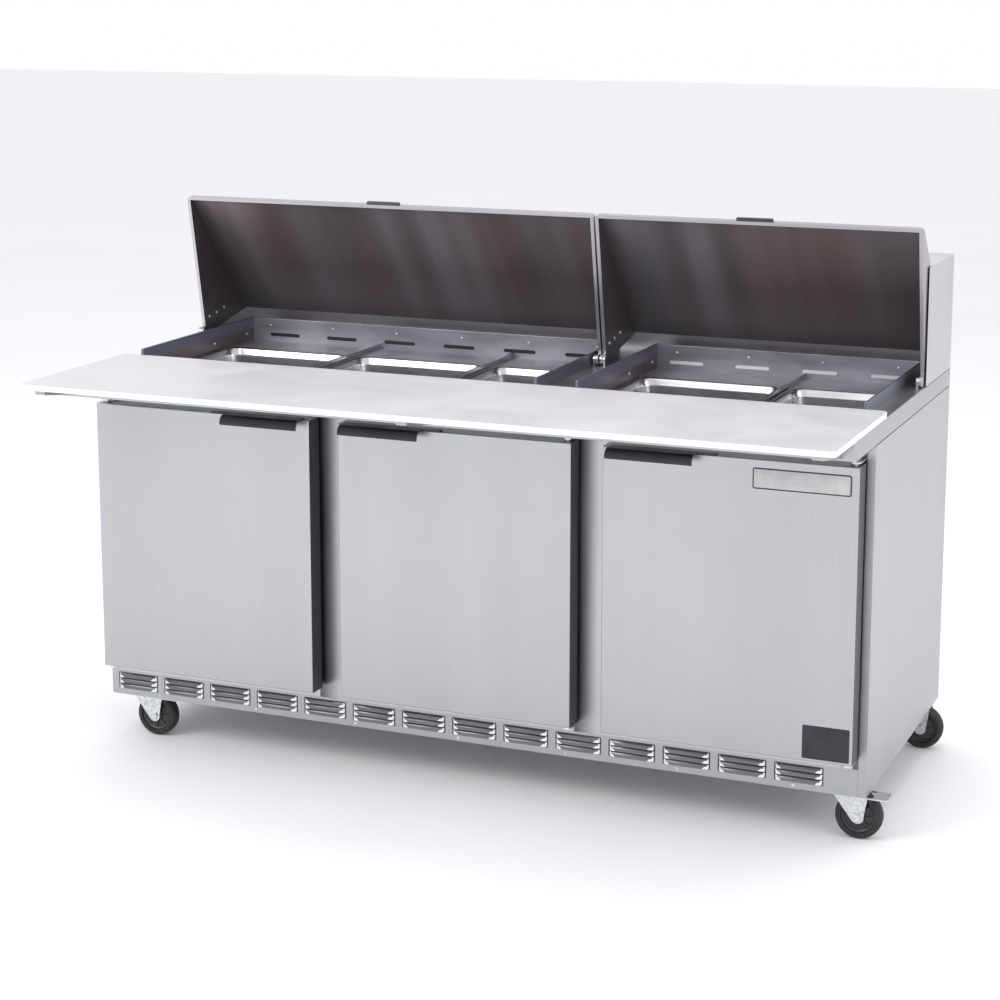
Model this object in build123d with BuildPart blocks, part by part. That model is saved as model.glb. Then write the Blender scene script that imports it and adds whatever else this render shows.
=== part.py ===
from build123d import *
import os

# A three-door refrigerated sandwich prep table, in millimetres.
# +X runs to the right along the front, +Y to the back, +Z up; the wheels stand on Z = 0.

# ---- driving dimensions ----
WIDTH = 1829.0
BOARD_DEPTH = 432.0
DEPTH = 1060.0
SHEET = 1.2
GAP = 0.3
FLANGE = 18.0
FACE_MARGIN = FLANGE + 0.2

# heights
SKIRT_BOTTOM = 105.0
GRILLE_TOP = 165.0
DOOR_BOTTOM = 192.0
DOOR_TOP = 822.0
COUNTER_BOTTOM = 857.0
COUNTER_TOP = 899.0
BOARD_THICK = 12.7
COLLAR_TOP = 926.0
HOUSING_TOP = 1165.0

# casters
WHEEL_R = 50.8
WHEEL_WIDTH = 32.0
CASTER_TRAIL = 36.0
SWIVEL_INSET = 60.0
PEDAL_REACH = 64.0
CASTER_OVERHANG = CASTER_TRAIL + PEDAL_REACH - SWIVEL_INSET

# X of the two sides: the right brake pedal trails past the cabinet, and the frame is centred on the whole
LEFT = -(WIDTH + CASTER_OVERHANG) / 2
RIGHT = LEFT + WIDTH

# Y of the main planes, front to back
BOARD_FRONT = -DEPTH / 2
BOARD_BACK = BOARD_FRONT + BOARD_DEPTH
COUNTER_FRONT = BOARD_FRONT + 166.0
CABINET_FRONT = BOARD_FRONT + 338.0
BACK = DEPTH / 2
HOUSING_FRONT = 270.0
HOUSING_LIP_Y = 307.0
LINER_BACK = 330.0

# doors
DOOR_COUNT = 3
DOOR_WIDTH = 550.0
DOOR_INSET = 18.0
DOOR_GAP = (WIDTH - 2 * DOOR_INSET - DOOR_COUNT * DOOR_WIDTH) / (DOOR_COUNT - 1)
DOOR_THICK = 48.0
GASKET_THICK = 11.4
GASKET_CLEAR = 0.6
GASKET_INSET = 10.0
GASKET_WIDTH = 14.0
OPENING_INSET = 26.0
DOOR_BACK = CABINET_FRONT - GASKET_CLEAR - GASKET_THICK
DOOR_FRONT = DOOR_BACK - DOOR_THICK
HINGE_PIN_R = 5.0
HINGE_FIT = 0.05
HINGE_PIN_INSET = 15.0
HINGE_PIN_Y = DOOR_BACK - DOOR_THICK / 2
HINGE_REACH = 12.0
HANDLE_WIDTH = 190.0
HANDLE_FLANGE_WIDTH = 232.0

# frame, walls and liner
FRAME_THICK = 32.0
WALL_THICK = 42.0
LINER_THICK = 1.5
FLOOR_TOP = 205.0
DECK_THICK = 3.0
RAIL_HEIGHT = 27.0
PLATE_THICK = 4.0
PLATE_SIZE = 80.0

# worktop and cutting board
COUNTER_CORNER = 6.0
COUNTER_EDGE_R = 3.0
BOARD_CORNER = 12.0
BOARD_EDGE_R = 1.5
BOARD_PIN_R = 4.0
BOARD_PIN_CLEAR = 0.2

# pan wells, as X from the left side and Y
WELLS = {"left": (52.0, 1043.0), "right": (1146.0, 1778.0)}
WELL_FRONT = -90.0
WELL_BACK = 315.0
COLLAR_BACK = 440.0
FRONT_RAIL_TOP = 911.0
WELL_BOTTOM = 800.0
WELL_WALL = 2.0
COLLAR_HEM = 6.0
LEDGE_TOP = 868.0
LEDGE_WIDTH = 11.0
PAN_LENGTH = 399.0
PAN_DEPTH = 100.0
PAN_WALL = 1.2
PAN_RIM = 11.0
PAN_BAR = 6.0
PAN_BAR_HEIGHT = 12.0
PANS = {"left": (354.0, 354.0, 265.0), "right": (354.0, 265.0)}

# lids, drawn closed and then turned back to the open rest pose about their pivot
LID_SPLIT = 1070.0
LID_SIDE_CLEAR = 4.5
LID_SPLIT_CLEAR = 2.0
LID_WALL = 8.0
LID_FRONT = -94.0
LID_BACK = 262.0
LID_BOTTOM = COLLAR_TOP + 0.6
LID_FRONT_HEIGHT = 14.0
LID_BACK_TOP = 1148.0
PIVOT_Y = 252.0
PIVOT_Z = 913.0
PIVOT_BOSS_R = 12.0
LID_PIN_R = 4.0
LID_OPEN_ANGLE = 79.4
PIVOT = Axis((0, PIVOT_Y, PIVOT_Z), (1, 0, 0))

# shelves
SHELF_Z = 480.0
SHELF_FRONT = -140.0
SHELF_BACK = 216.0
WIRE_R = 3.0
UPRIGHT_INSET = 35.0

# evaporator inside the cabinet, machine space behind it
SHROUD_SHEET = 1.5
EVAP_X = WIDTH / 2
EVAP_HALF = 170.0
EVAP_FRONT = 226.0
EVAP_BOTTOM = 610.0
EVAP_TOP = 745.0
EVAP_MIDDLE_Z = (EVAP_BOTTOM + EVAP_TOP) / 2
FAN_R = 54.0
FAN_MOUTH_R = FAN_R + 4.0
FAN_SHAFT_R = 3.0
KNOB_OFFSET = 125.0
KNOB_SHAFT_R = 3.0
MACHINE_FRONT = LINER_BACK + LINER_THICK + 45.0

# condensing unit in the machine space
CONDENSER_X = LEFT + 330.0
CONDENSER_Y = (MACHINE_FRONT + BACK - SHEET) / 2
CONDENSER_Z = 300.0
CONDENSER_HALF_Y = 68.0
CONDENSER_HALF_Z = 100.0
CONDENSER_THICK = 38.0
COMPRESSOR_X = LEFT + 620.0

# caster details
FORK_GAP = 2.0
FORK_SHEET = 3.0
CROWN_BOTTOM = WHEEL_R * 2 + 6.0
CROWN_THICK = 5.0
PLATE_TOP = GRILLE_TOP - DECK_THICK - RAIL_HEIGHT
AXLE_R = 5.0
KINGPIN_R = 6.0
BRAKE_PIVOT = (14.0, 45.0)
BRAKE_PIN_R = 3.0


def save(piece, name):
    """Label a finished piece and write it as its own STEP file."""
    piece.part.label = name
    export_step(piece.part, "parts/" + name + ".step")


def box_between(low, high, corner=0.0):
    """A block between two corners, its upright edges rounded by corner."""
    with BuildPart() as piece:
        with BuildSketch(Plane.XY.offset(low[2])):
            with Locations(((low[0] + high[0]) / 2, (low[1] + high[1]) / 2)):
                Rectangle(high[0] - low[0], high[1] - low[1])
        extrude(amount=high[2] - low[2])
        if corner > 0:
            fillet(piece.edges().filter_by(Axis.Z), radius=corner)
    return piece


def group(blocks, corner=0.0):
    """Several separate blocks kept together as one node."""
    pieces = [box_between(low, high, corner) for low, high in blocks]
    with BuildPart() as node:
        for piece in pieces:
            add(piece.part)
    return node


# ---- outer cabinet ----

def side_panel(outer, inward):
    """A sheet side with a return flange at its front and back edge."""
    with BuildPart() as panel:
        with BuildSketch(Plane.XY.offset(SKIRT_BOTTOM)):
            with Locations((outer + inward * SHEET / 2, (CABINET_FRONT + BACK) / 2)):
                Rectangle(SHEET, BACK - CABINET_FRONT)
            for edge, step in ((CABINET_FRONT, 1), (BACK, -1)):
                with Locations((outer + inward * FLANGE / 2, edge + step * SHEET / 2)):
                    Rectangle(FLANGE, SHEET)
        extrude(amount=COUNTER_BOTTOM - SKIRT_BOTTOM)
    return panel


def rear_panel():
    """The sheet back, with rows of cooling slots behind the machine space."""
    slot_columns = 9
    slot_rows = 4
    slot_length = 90.0
    slot_height = 7.0
    slot_pitch_x = 170.0
    slot_pitch_z = 26.0
    slots_z = 290.0
    margin = FLANGE + 1.0
    y = BACK - SHEET
    middle = (LEFT + RIGHT) / 2
    with BuildPart() as panel:
        with BuildSketch(Plane.XZ.offset(-y)):
            with Locations((middle, (SKIRT_BOTTOM + COUNTER_BOTTOM) / 2)):
                Rectangle(WIDTH - 2 * margin, COUNTER_BOTTOM - SKIRT_BOTTOM)
            with Locations((middle, slots_z)):
                with GridLocations(slot_pitch_x, slot_pitch_z, slot_columns, slot_rows):
                    SlotOverall(slot_length, slot_height, mode=Mode.SUBTRACT)
        extrude(amount=-SHEET)
    return panel


def frame_slice(width, y, depth):
    """One layer of the face frame, with its three openings, from y towards the back by depth."""
    height = COUNTER_BOTTOM - GRILLE_TOP
    opening_corner = 12.0
    with BuildPart() as layer:
        with BuildSketch(Plane.XZ.offset(-y)):
            with Locations(((LEFT + RIGHT) / 2, GRILLE_TOP + height / 2)):
                Rectangle(width, height)
            for start in door_starts():
                with Locations((start + DOOR_WIDTH / 2, (DOOR_BOTTOM + DOOR_TOP) / 2)):
                    RectangleRounded(
                        DOOR_WIDTH - 2 * OPENING_INSET,
                        DOOR_TOP - DOOR_BOTTOM - 2 * OPENING_INSET,
                        opening_corner,
                        mode=Mode.SUBTRACT,
                    )
        extrude(amount=-depth)
    return layer


def front_frame():
    """The face frame: its face stands forward between the side panels' flanges."""
    body = frame_slice(WIDTH - 2 * SHEET, CABINET_FRONT + SHEET, FRAME_THICK - SHEET)
    face = frame_slice(WIDTH - 2 * FACE_MARGIN, CABINET_FRONT, SHEET)
    with BuildPart() as frame:
        add(body.part)
        add(face.part)
    return frame


def door_starts():
    """X of each door's left edge."""
    return [LEFT + DOOR_INSET + i * (DOOR_WIDTH + DOOR_GAP) for i in range(DOOR_COUNT)]


def grille():
    """The kick panel: groups of three pressed louvers, each a hood over its slot."""
    groups = 14
    louver_length = 76.0
    louver_slot = 4.0
    louver_pitch_z = 13.0
    hood = 4.0
    hood_lip = 1.2
    hood_base = 1.6
    hood_top = 5.0
    lip_drop = 2.0
    group_pitch = 124.0
    first_x = LEFT + 72.0
    first_z = SKIRT_BOTTOM + 20.0
    face = CABINET_FRONT + SHEET
    spots = [
        (first_x + i * group_pitch, first_z + j * louver_pitch_z)
        for i in range(groups)
        for j in range(3)
    ]
    with BuildPart() as panel:
        with BuildSketch(Plane.XZ.offset(-face)):
            with Locations(((LEFT + RIGHT) / 2, (SKIRT_BOTTOM + GRILLE_TOP) / 2)):
                Rectangle(WIDTH - 2 * FACE_MARGIN, GRILLE_TOP - SKIRT_BOTTOM - GAP)
            with Locations(*spots):
                Rectangle(louver_length, louver_slot, mode=Mode.SUBTRACT)
        extrude(amount=SHEET)
        for x, z in spots:
            with BuildSketch(Plane.YZ.offset(x - louver_length / 2)):
                with BuildLine():
                    Polyline(
                        (CABINET_FRONT + GAP, z + hood_top),
                        (CABINET_FRONT - hood, z - lip_drop),
                        (CABINET_FRONT - hood, z - lip_drop - hood_lip),
                        (CABINET_FRONT + GAP, z + hood_top - hood_base),
                        close=True,
                    )
                make_face()
            extrude(amount=louver_length)
    return panel


def base_deck():
    """The pressed deck that closes the bottom and carries the insulated floor."""
    return box_between(
        (LEFT + SHEET + GAP, CABINET_FRONT + SHEET + GAP, GRILLE_TOP - DECK_THICK),
        (RIGHT - SHEET - GAP, BACK - SHEET - GAP, GRILLE_TOP - GAP),
    )


def base_rails():
    """Four rails under the deck: the two long ones carry the casters."""
    low = GRILLE_TOP - DECK_THICK - RAIL_HEIGHT
    high = GRILLE_TOP - DECK_THICK
    half = PLATE_SIZE / 2
    end_inset = 8.0
    cross_half = 20.0
    long_rails = [
        ((LEFT + end_inset, y - half, low), (RIGHT - end_inset, y + half, high)) for y in caster_rows()
    ]
    front_y, rear_y = caster_rows()
    cross = [
        ((x - cross_half, front_y + half + GAP, low), (x + cross_half, rear_y - half - GAP, high))
        for x in (LEFT + WIDTH / 3, RIGHT - WIDTH / 3)
    ]
    return group(long_rails + cross)


def insulation():
    """Foam between the outer sheets and the liner: two sides, back and floor."""
    side = WALL_THICK + LINER_THICK
    front = CABINET_FRONT + FRAME_THICK + GAP
    top = COUNTER_BOTTOM - GAP
    with BuildPart() as foam:
        with BuildSketch(Plane.XY.offset(GRILLE_TOP)):
            with Locations(((LEFT + RIGHT) / 2, (front + MACHINE_FRONT) / 2)):
                Rectangle(WIDTH - 2 * SHEET - 2 * GAP, MACHINE_FRONT - front)
        extrude(amount=top - GRILLE_TOP)
        with BuildSketch(Plane.XY.offset(FLOOR_TOP - LINER_THICK - GAP)):
            with Locations(((LEFT + RIGHT) / 2, (front + LINER_BACK + LINER_THICK) / 2)):
                Rectangle(WIDTH - 2 * side + 2 * LINER_THICK + 2 * GAP, LINER_BACK + LINER_THICK - front + GAP)
        extrude(amount=top, mode=Mode.SUBTRACT)
    return foam


def cabinet_liner():
    """The food-safe inner tray: floor, sides and back, open to the doors and the wells."""
    side = WALL_THICK + LINER_THICK
    front = CABINET_FRONT + FRAME_THICK + GAP
    bottom = FLOOR_TOP - LINER_THICK
    with BuildPart() as liner:
        with BuildSketch(Plane.XY.offset(bottom)):
            with Locations(((LEFT + RIGHT) / 2, (front + LINER_BACK + LINER_THICK) / 2)):
                Rectangle(WIDTH - 2 * side + 2 * LINER_THICK, LINER_BACK + LINER_THICK - front)
        extrude(amount=COUNTER_BOTTOM - GAP - bottom)
        with BuildSketch(Plane.XY.offset(FLOOR_TOP)):
            with Locations(((LEFT + RIGHT) / 2, (front + LINER_BACK) / 2)):
                Rectangle(WIDTH - 2 * side, LINER_BACK - front)
        extrude(amount=COUNTER_TOP, mode=Mode.SUBTRACT)
    return liner


# ---- worktop, wells and pans ----

def countertop():
    """The foamed stainless worktop with an opening for each pan well."""
    clear = WELL_WALL + 0.5
    well_y = (WELL_FRONT + COLLAR_BACK) / 2
    with BuildPart() as top:
        with BuildSketch(Plane.XY.offset(COUNTER_BOTTOM)):
            with Locations(((LEFT + RIGHT) / 2, (COUNTER_FRONT + BACK) / 2)):
                Rectangle(WIDTH, BACK - COUNTER_FRONT)
            for start, end in WELLS.values():
                with Locations((LEFT + (start + end) / 2, well_y)):
                    Rectangle(end - start + 2 * clear, COLLAR_BACK - WELL_FRONT + 2 * clear, mode=Mode.SUBTRACT)
        extrude(amount=COUNTER_TOP - COUNTER_BOTTOM)
        outer = top.edges().filter_by(Axis.Z).group_by(Axis.Y)[0]
        fillet(outer, radius=COUNTER_CORNER)
        front_edges = top.faces().sort_by(Axis.Y)[0].edges().filter_by(Axis.X)
        fillet(front_edges, radius=COUNTER_EDGE_R)
    return top


def well_ring(width, front, back, middle_x, border, low, high):
    """An upright rectangular ring round the opening front..back, border thick."""
    with BuildPart() as ring:
        with BuildSketch(Plane.XY.offset(low)):
            with Locations((middle_x, (front + back) / 2)):
                Rectangle(width + 2 * border, back - front + 2 * border)
                Rectangle(width, back - front, mode=Mode.SUBTRACT)
        extrude(amount=high - low)
    return ring.part


def pan_well(side):
    """A well: deep pan box, rear ledge, slotted back wall and a hemmed collar over the worktop."""
    start, end = WELLS[side]
    slot_pitch = 162.0
    slot_length = 84.0
    slot_height = 9.0
    slot_z = 884.0
    through = 1.0
    hem_r = 1.5
    middle_x = LEFT + (start + end) / 2
    width = end - start
    slots = int((width - slot_length) // slot_pitch) + 1
    ledge_bottom = LEDGE_TOP - WELL_WALL
    box = well_ring(width, WELL_FRONT, WELL_BACK, middle_x, WELL_WALL, WELL_BOTTOM, LEDGE_TOP)
    walls = well_ring(width, WELL_FRONT, COLLAR_BACK, middle_x, WELL_WALL, ledge_bottom, COLLAR_TOP)
    collar = well_ring(width, WELL_FRONT, COLLAR_BACK, middle_x, COLLAR_HEM, COUNTER_TOP, COLLAR_TOP)
    ledges = [(WELL_FRONT - through, WELL_FRONT + LEDGE_WIDTH), (WELL_BACK - LEDGE_WIDTH, COLLAR_BACK + through)]
    with BuildPart() as well:
        add(walls)
        add(collar)
        top_edges = well.faces().sort_by(Axis.Z)[-1].edges()
        fillet(top_edges, radius=hem_r)
        add(box)
        with BuildSketch(Plane.XY.offset(ledge_bottom)):
            for front, back in ledges:
                with Locations((middle_x, (front + back) / 2)):
                    Rectangle(width + WELL_WALL, back - front)
        extrude(amount=WELL_WALL)
        # the front rail stays below the cutting board's face
        with BuildSketch(Plane.XY.offset(FRONT_RAIL_TOP)):
            with Locations((middle_x, WELL_FRONT - COLLAR_HEM / 2)):
                Rectangle(width, COLLAR_HEM + 2 * through)
        extrude(amount=COLLAR_TOP - FRONT_RAIL_TOP + through, mode=Mode.SUBTRACT)
        with BuildSketch(Plane.XZ.offset(-COLLAR_BACK + through)):
            with Locations((middle_x, slot_z)):
                with GridLocations(slot_pitch, slot_height, slots, 1):
                    SlotOverall(slot_length, slot_height)
        extrude(amount=-WELL_WALL - 1.5 * through, mode=Mode.SUBTRACT)
    return well


def pan_spans(side):
    """X span of each pan in a well, left to right, with a bar between neighbours."""
    start, end = WELLS[side]
    widths = PANS[side]
    slack = end - start - sum(widths) - PAN_BAR * (len(widths) - 1)
    gap = slack / (2 * len(widths))
    x = LEFT + start
    spans = []
    for width in widths:
        spans.append((x + gap, x + gap + width))
        x += width + 2 * gap + PAN_BAR
    return spans


def divider_bars():
    """The bars between neighbouring pans, resting on the wells' ledges."""
    blocks = []
    for side in WELLS:
        spans = pan_spans(side)
        for first, second in zip(spans, spans[1:]):
            middle = (first[1] + second[0]) / 2
            blocks.append((
                (middle - PAN_BAR / 2, WELL_FRONT + GAP, LEDGE_TOP),
                (middle + PAN_BAR / 2, COLLAR_BACK - GAP, LEDGE_TOP + PAN_BAR_HEIGHT),
            ))
    return group(blocks)


def pan_section(middle, width, length, corner, z, inset):
    """A rounded rectangle across a pan at height z, drawn in by inset all round."""
    with BuildSketch(Plane.XY.offset(z)) as section:
        with Locations(middle):
            RectangleRounded(width - 2 * inset, length - 2 * inset, corner)
    return section.sketch


def pan(span):
    """A drawn food pan with a flat rim that hangs on the ledges."""
    low_x, high_x = span
    middle = ((low_x + high_x) / 2, (WELL_FRONT + WELL_BACK) / 2)
    rim_z = LEDGE_TOP + GAP
    floor_z = rim_z - PAN_DEPTH
    width = high_x - low_x
    body_x = width - 2 * PAN_RIM - 6.0
    body_y = PAN_LENGTH - 2 * PAN_RIM - 8.0
    draft = 5.0
    rim_corner = 18.0
    mouth_corner = 26.0
    floor_corner = 30.0
    outer_mouth = pan_section(middle, body_x, body_y, mouth_corner, rim_z, 0.0)
    outer_floor = pan_section(middle, body_x, body_y, floor_corner, floor_z, draft)
    inner_mouth = pan_section(middle, body_x, body_y, mouth_corner - 1.0, rim_z + PAN_WALL, PAN_WALL)
    inner_floor = pan_section(middle, body_x, body_y, floor_corner - 1.0, floor_z + PAN_WALL, draft + PAN_WALL)
    with BuildPart() as tray:
        with BuildSketch(Plane.XY.offset(rim_z)):
            with Locations(middle):
                RectangleRounded(width, PAN_LENGTH, rim_corner)
        extrude(amount=PAN_WALL)
        loft([outer_mouth, outer_floor])
        loft([inner_mouth, inner_floor], mode=Mode.SUBTRACT)
    return tray


def cutting_board():
    """The full-width board, with two holes for its locating pins."""
    with BuildPart() as board:
        with BuildSketch(Plane.XY.offset(COUNTER_TOP + GAP)):
            with Locations(((LEFT + RIGHT) / 2, (BOARD_FRONT + BOARD_BACK) / 2)):
                RectangleRounded(WIDTH, BOARD_DEPTH, BOARD_CORNER)
            with Locations(*board_pin_spots()):
                Circle(BOARD_PIN_R + BOARD_PIN_CLEAR, mode=Mode.SUBTRACT)
        extrude(amount=BOARD_THICK)
        fillet(board.faces().sort_by(Axis.Z)[-1].edges().filter_by(GeomType.LINE), radius=BOARD_EDGE_R)
    return board


def board_pin_spots():
    """Locating pins near the board's two back corners."""
    inset = 30.0
    back_inset = 34.0
    y = BOARD_BACK - back_inset
    return [(LEFT + inset, y), (RIGHT - inset, y)]


def board_supports():
    """Brackets under the overhanging board, and the two locating pins."""
    side_inset = 40.0
    bracket_width = 24.0
    top = COUNTER_TOP - 1.0
    tip_bottom = COUNTER_TOP - 12.0
    root_bottom = COUNTER_BOTTOM + 6.0
    root_y = COUNTER_FRONT - GAP
    tip_y = BOARD_FRONT + 22.0
    with BuildPart() as supports:
        for x in (LEFT + side_inset, LEFT + WIDTH / 2, RIGHT - side_inset):
            with BuildSketch(Plane.YZ.offset(x - bracket_width / 2)):
                with BuildLine():
                    Polyline(
                        (root_y, top),
                        (tip_y, top),
                        (tip_y, tip_bottom),
                        (root_y, root_bottom),
                        close=True,
                    )
                make_face()
            extrude(amount=bracket_width)
        with BuildSketch(Plane.XY.offset(COUNTER_TOP)):
            with Locations(*board_pin_spots()):
                Circle(BOARD_PIN_R)
        extrude(amount=BOARD_THICK - 1.0)
    return supports


# ---- rear housing and lids ----

def rear_housing():
    """The open-fronted hood that the lids fold back into."""
    height = HOUSING_TOP - COUNTER_TOP
    lip = 8.0
    middle = (LEFT + RIGHT) / 2
    with BuildPart() as hood:
        with BuildSketch(Plane.XY.offset(COUNTER_TOP)):
            with Locations((middle, BACK - SHEET / 2)):
                Rectangle(WIDTH, SHEET)
            for x in (LEFT + SHEET / 2, RIGHT - SHEET / 2):
                with Locations((x, (HOUSING_FRONT + BACK) / 2)):
                    Rectangle(SHEET, BACK - HOUSING_FRONT)
        extrude(amount=height)
        with BuildSketch(Plane.XY.offset(HOUSING_TOP - SHEET)):
            with Locations((middle, (HOUSING_LIP_Y + BACK) / 2)):
                Rectangle(WIDTH, BACK - HOUSING_LIP_Y)
        extrude(amount=SHEET)
        with BuildSketch(Plane.XY.offset(HOUSING_TOP - lip)):
            with Locations((middle, HOUSING_LIP_Y + SHEET / 2)):
                Rectangle(WIDTH, SHEET)
        extrude(amount=lip)
    return hood


def lid_x(side):
    """X span of a lid."""
    split = LEFT + LID_SPLIT
    if side == "left":
        return LEFT + LID_SIDE_CLEAR, split - LID_SPLIT_CLEAR
    return split + LID_SPLIT_CLEAR, RIGHT - LID_SIDE_CLEAR


def lid(side):
    """A wedge hood: sloping panel and two triangular sides, open underneath and behind."""
    low, high = lid_x(side)
    slope = (LID_BACK_TOP - LID_BOTTOM - LID_FRONT_HEIGHT) / (LID_BACK - LID_FRONT)
    panel_drop = LID_WALL * (1 + slope ** 2) ** 0.5
    inner_front = LID_FRONT + LID_WALL
    inner_back = LID_BACK + 1.0
    front_top = LID_BOTTOM + LID_FRONT_HEIGHT
    inner_front_top = front_top + slope * LID_WALL - panel_drop
    inner_back_top = LID_BACK_TOP + slope * (inner_back - LID_BACK) - panel_drop
    front_corner = 10.0
    bore_floor = 2.0
    neck = 2 * PIVOT_BOSS_R - 4.0
    with BuildPart() as hood:
        with BuildSketch(Plane.YZ.offset(low)):
            with BuildLine():
                Polyline(
                    (LID_FRONT, LID_BOTTOM),
                    (LID_BACK, LID_BOTTOM),
                    (LID_BACK, LID_BACK_TOP),
                    (LID_FRONT, front_top),
                    close=True,
                )
            make_face()
        extrude(amount=high - low)
        fillet(hood.edges().filter_by(Axis.Z).group_by(Axis.Y)[0], radius=front_corner)
        for x in (low, high - LID_WALL):
            with BuildSketch(Plane.YZ.offset(x)):
                with Locations((PIVOT_Y, PIVOT_Z)):
                    Circle(PIVOT_BOSS_R)
                with Locations((PIVOT_Y, (PIVOT_Z + LID_BOTTOM) / 2)):
                    Rectangle(neck, LID_BOTTOM - PIVOT_Z + 1.0)
            extrude(amount=LID_WALL)
        with BuildSketch(Plane.YZ.offset(low + LID_WALL)):
            with BuildLine():
                Polyline(
                    (inner_front, LID_BOTTOM - 1.0),
                    (inner_back, LID_BOTTOM - 1.0),
                    (inner_back, inner_back_top),
                    (inner_front, max(inner_front_top, LID_BOTTOM + 1.0)),
                    close=True,
                )
            make_face()
        extrude(amount=high - low - 2 * LID_WALL, mode=Mode.SUBTRACT)
        # blind bores for the hinge pins, from inside each side
        for x, way in ((low + bore_floor, 1), (high - bore_floor, -1)):
            with BuildSketch(Plane.YZ.offset(x)):
                with Locations((PIVOT_Y, PIVOT_Z)):
                    Circle(LID_PIN_R + HINGE_FIT)
            extrude(amount=way * LID_WALL, mode=Mode.SUBTRACT)
    hood.part = hood.part.rotate(PIVOT, -LID_OPEN_ANGLE)
    return hood


def lid_handle(side):
    """A black finger tab under the middle of a lid's front edge."""
    low, high = lid_x(side)
    middle = (low + high) / 2
    width = 84.0
    reach = 7.0
    root = (LID_BOTTOM + 1.0, LID_BOTTOM + 11.0)
    tip = (LID_BOTTOM + 3.5, LID_BOTTOM + 8.5)
    corner = 2.0
    with BuildPart() as tab:
        with BuildSketch(Plane.YZ.offset(middle - width / 2)):
            with BuildLine():
                Polyline(
                    (LID_FRONT - GAP, root[0]),
                    (LID_FRONT - GAP, root[1]),
                    (LID_FRONT - reach, tip[1]),
                    (LID_FRONT - reach, tip[0]),
                    close=True,
                )
            make_face()
        extrude(amount=width)
        fillet(tab.edges().filter_by(Axis.Z).group_by(Axis.Y)[0], radius=corner)
    tab.part = tab.part.rotate(PIVOT, -LID_OPEN_ANGLE)
    return tab


def lid_hinges():
    """Four upright ears on the worktop, each with a pin into a lid's side."""
    ear = 4.0
    ear_gap = 0.5
    ear_r = PIVOT_BOSS_R - 1.5
    neck = 2 * PIVOT_BOSS_R - 8.0
    pin_length = LID_WALL - 3.0
    spots = []
    for side in WELLS:
        low, high = lid_x(side)
        spots.append((low + LID_WALL + ear_gap, -1))
        spots.append((high - LID_WALL - ear_gap - ear, 1))
    with BuildPart() as hinges:
        for x, way in spots:
            with BuildSketch(Plane.YZ.offset(x)):
                with Locations((PIVOT_Y, PIVOT_Z)):
                    Circle(ear_r)
                with Locations((PIVOT_Y, (COUNTER_TOP + PIVOT_Z) / 2)):
                    Rectangle(neck, PIVOT_Z - COUNTER_TOP)
            extrude(amount=ear)
            face = x if way < 0 else x + ear
            with BuildSketch(Plane.YZ.offset(face)):
                with Locations((PIVOT_Y, PIVOT_Z)):
                    Circle(LID_PIN_R)
            extrude(amount=way * pin_length)
    return hinges


# ---- doors ----

def door_hinge_x(index):
    """X of a door's hinge pins: the first door turns on its left edge, the others on their right."""
    start = door_starts()[index]
    if index == 0:
        return start + HINGE_PIN_INSET
    return start + DOOR_WIDTH - HINGE_PIN_INSET


def door(index):
    """An insulated door with softened edges and a bore for each hinge pin."""
    start = door_starts()[index]
    bore = 15.0
    edge_r = 2.5
    with BuildPart() as leaf:
        with BuildSketch(Plane.XY.offset(DOOR_BOTTOM)):
            with Locations((start + DOOR_WIDTH / 2, (DOOR_FRONT + DOOR_BACK) / 2)):
                Rectangle(DOOR_WIDTH, DOOR_THICK)
        extrude(amount=DOOR_TOP - DOOR_BOTTOM)
        fillet(leaf.faces().sort_by(Axis.Y)[0].edges(), radius=edge_r)
        for z, way in ((DOOR_BOTTOM, 1), (DOOR_TOP, -1)):
            with BuildSketch(Plane.XY.offset(z)):
                with Locations((door_hinge_x(index), HINGE_PIN_Y)):
                    Circle(HINGE_PIN_R + HINGE_FIT)
            extrude(amount=way * bore, mode=Mode.SUBTRACT)
    return leaf


def door_gasket(index):
    """The magnetic seal round the back of a door."""
    start = door_starts()[index]
    middle = (start + DOOR_WIDTH / 2, (DOOR_BOTTOM + DOOR_TOP) / 2)
    lip_r = 3.0
    outer_x = DOOR_WIDTH - 2 * GASKET_INSET
    outer_z = DOOR_TOP - DOOR_BOTTOM - 2 * GASKET_INSET
    with BuildPart() as seal:
        with BuildSketch(Plane.XZ.offset(-DOOR_BACK)):
            with Locations(middle):
                Rectangle(outer_x, outer_z)
                Rectangle(outer_x - 2 * GASKET_WIDTH, outer_z - 2 * GASKET_WIDTH, mode=Mode.SUBTRACT)
        extrude(amount=-GASKET_THICK)
        fillet(seal.faces().sort_by(Axis.Y)[-1].edges(), radius=lip_r)
    return seal


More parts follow.
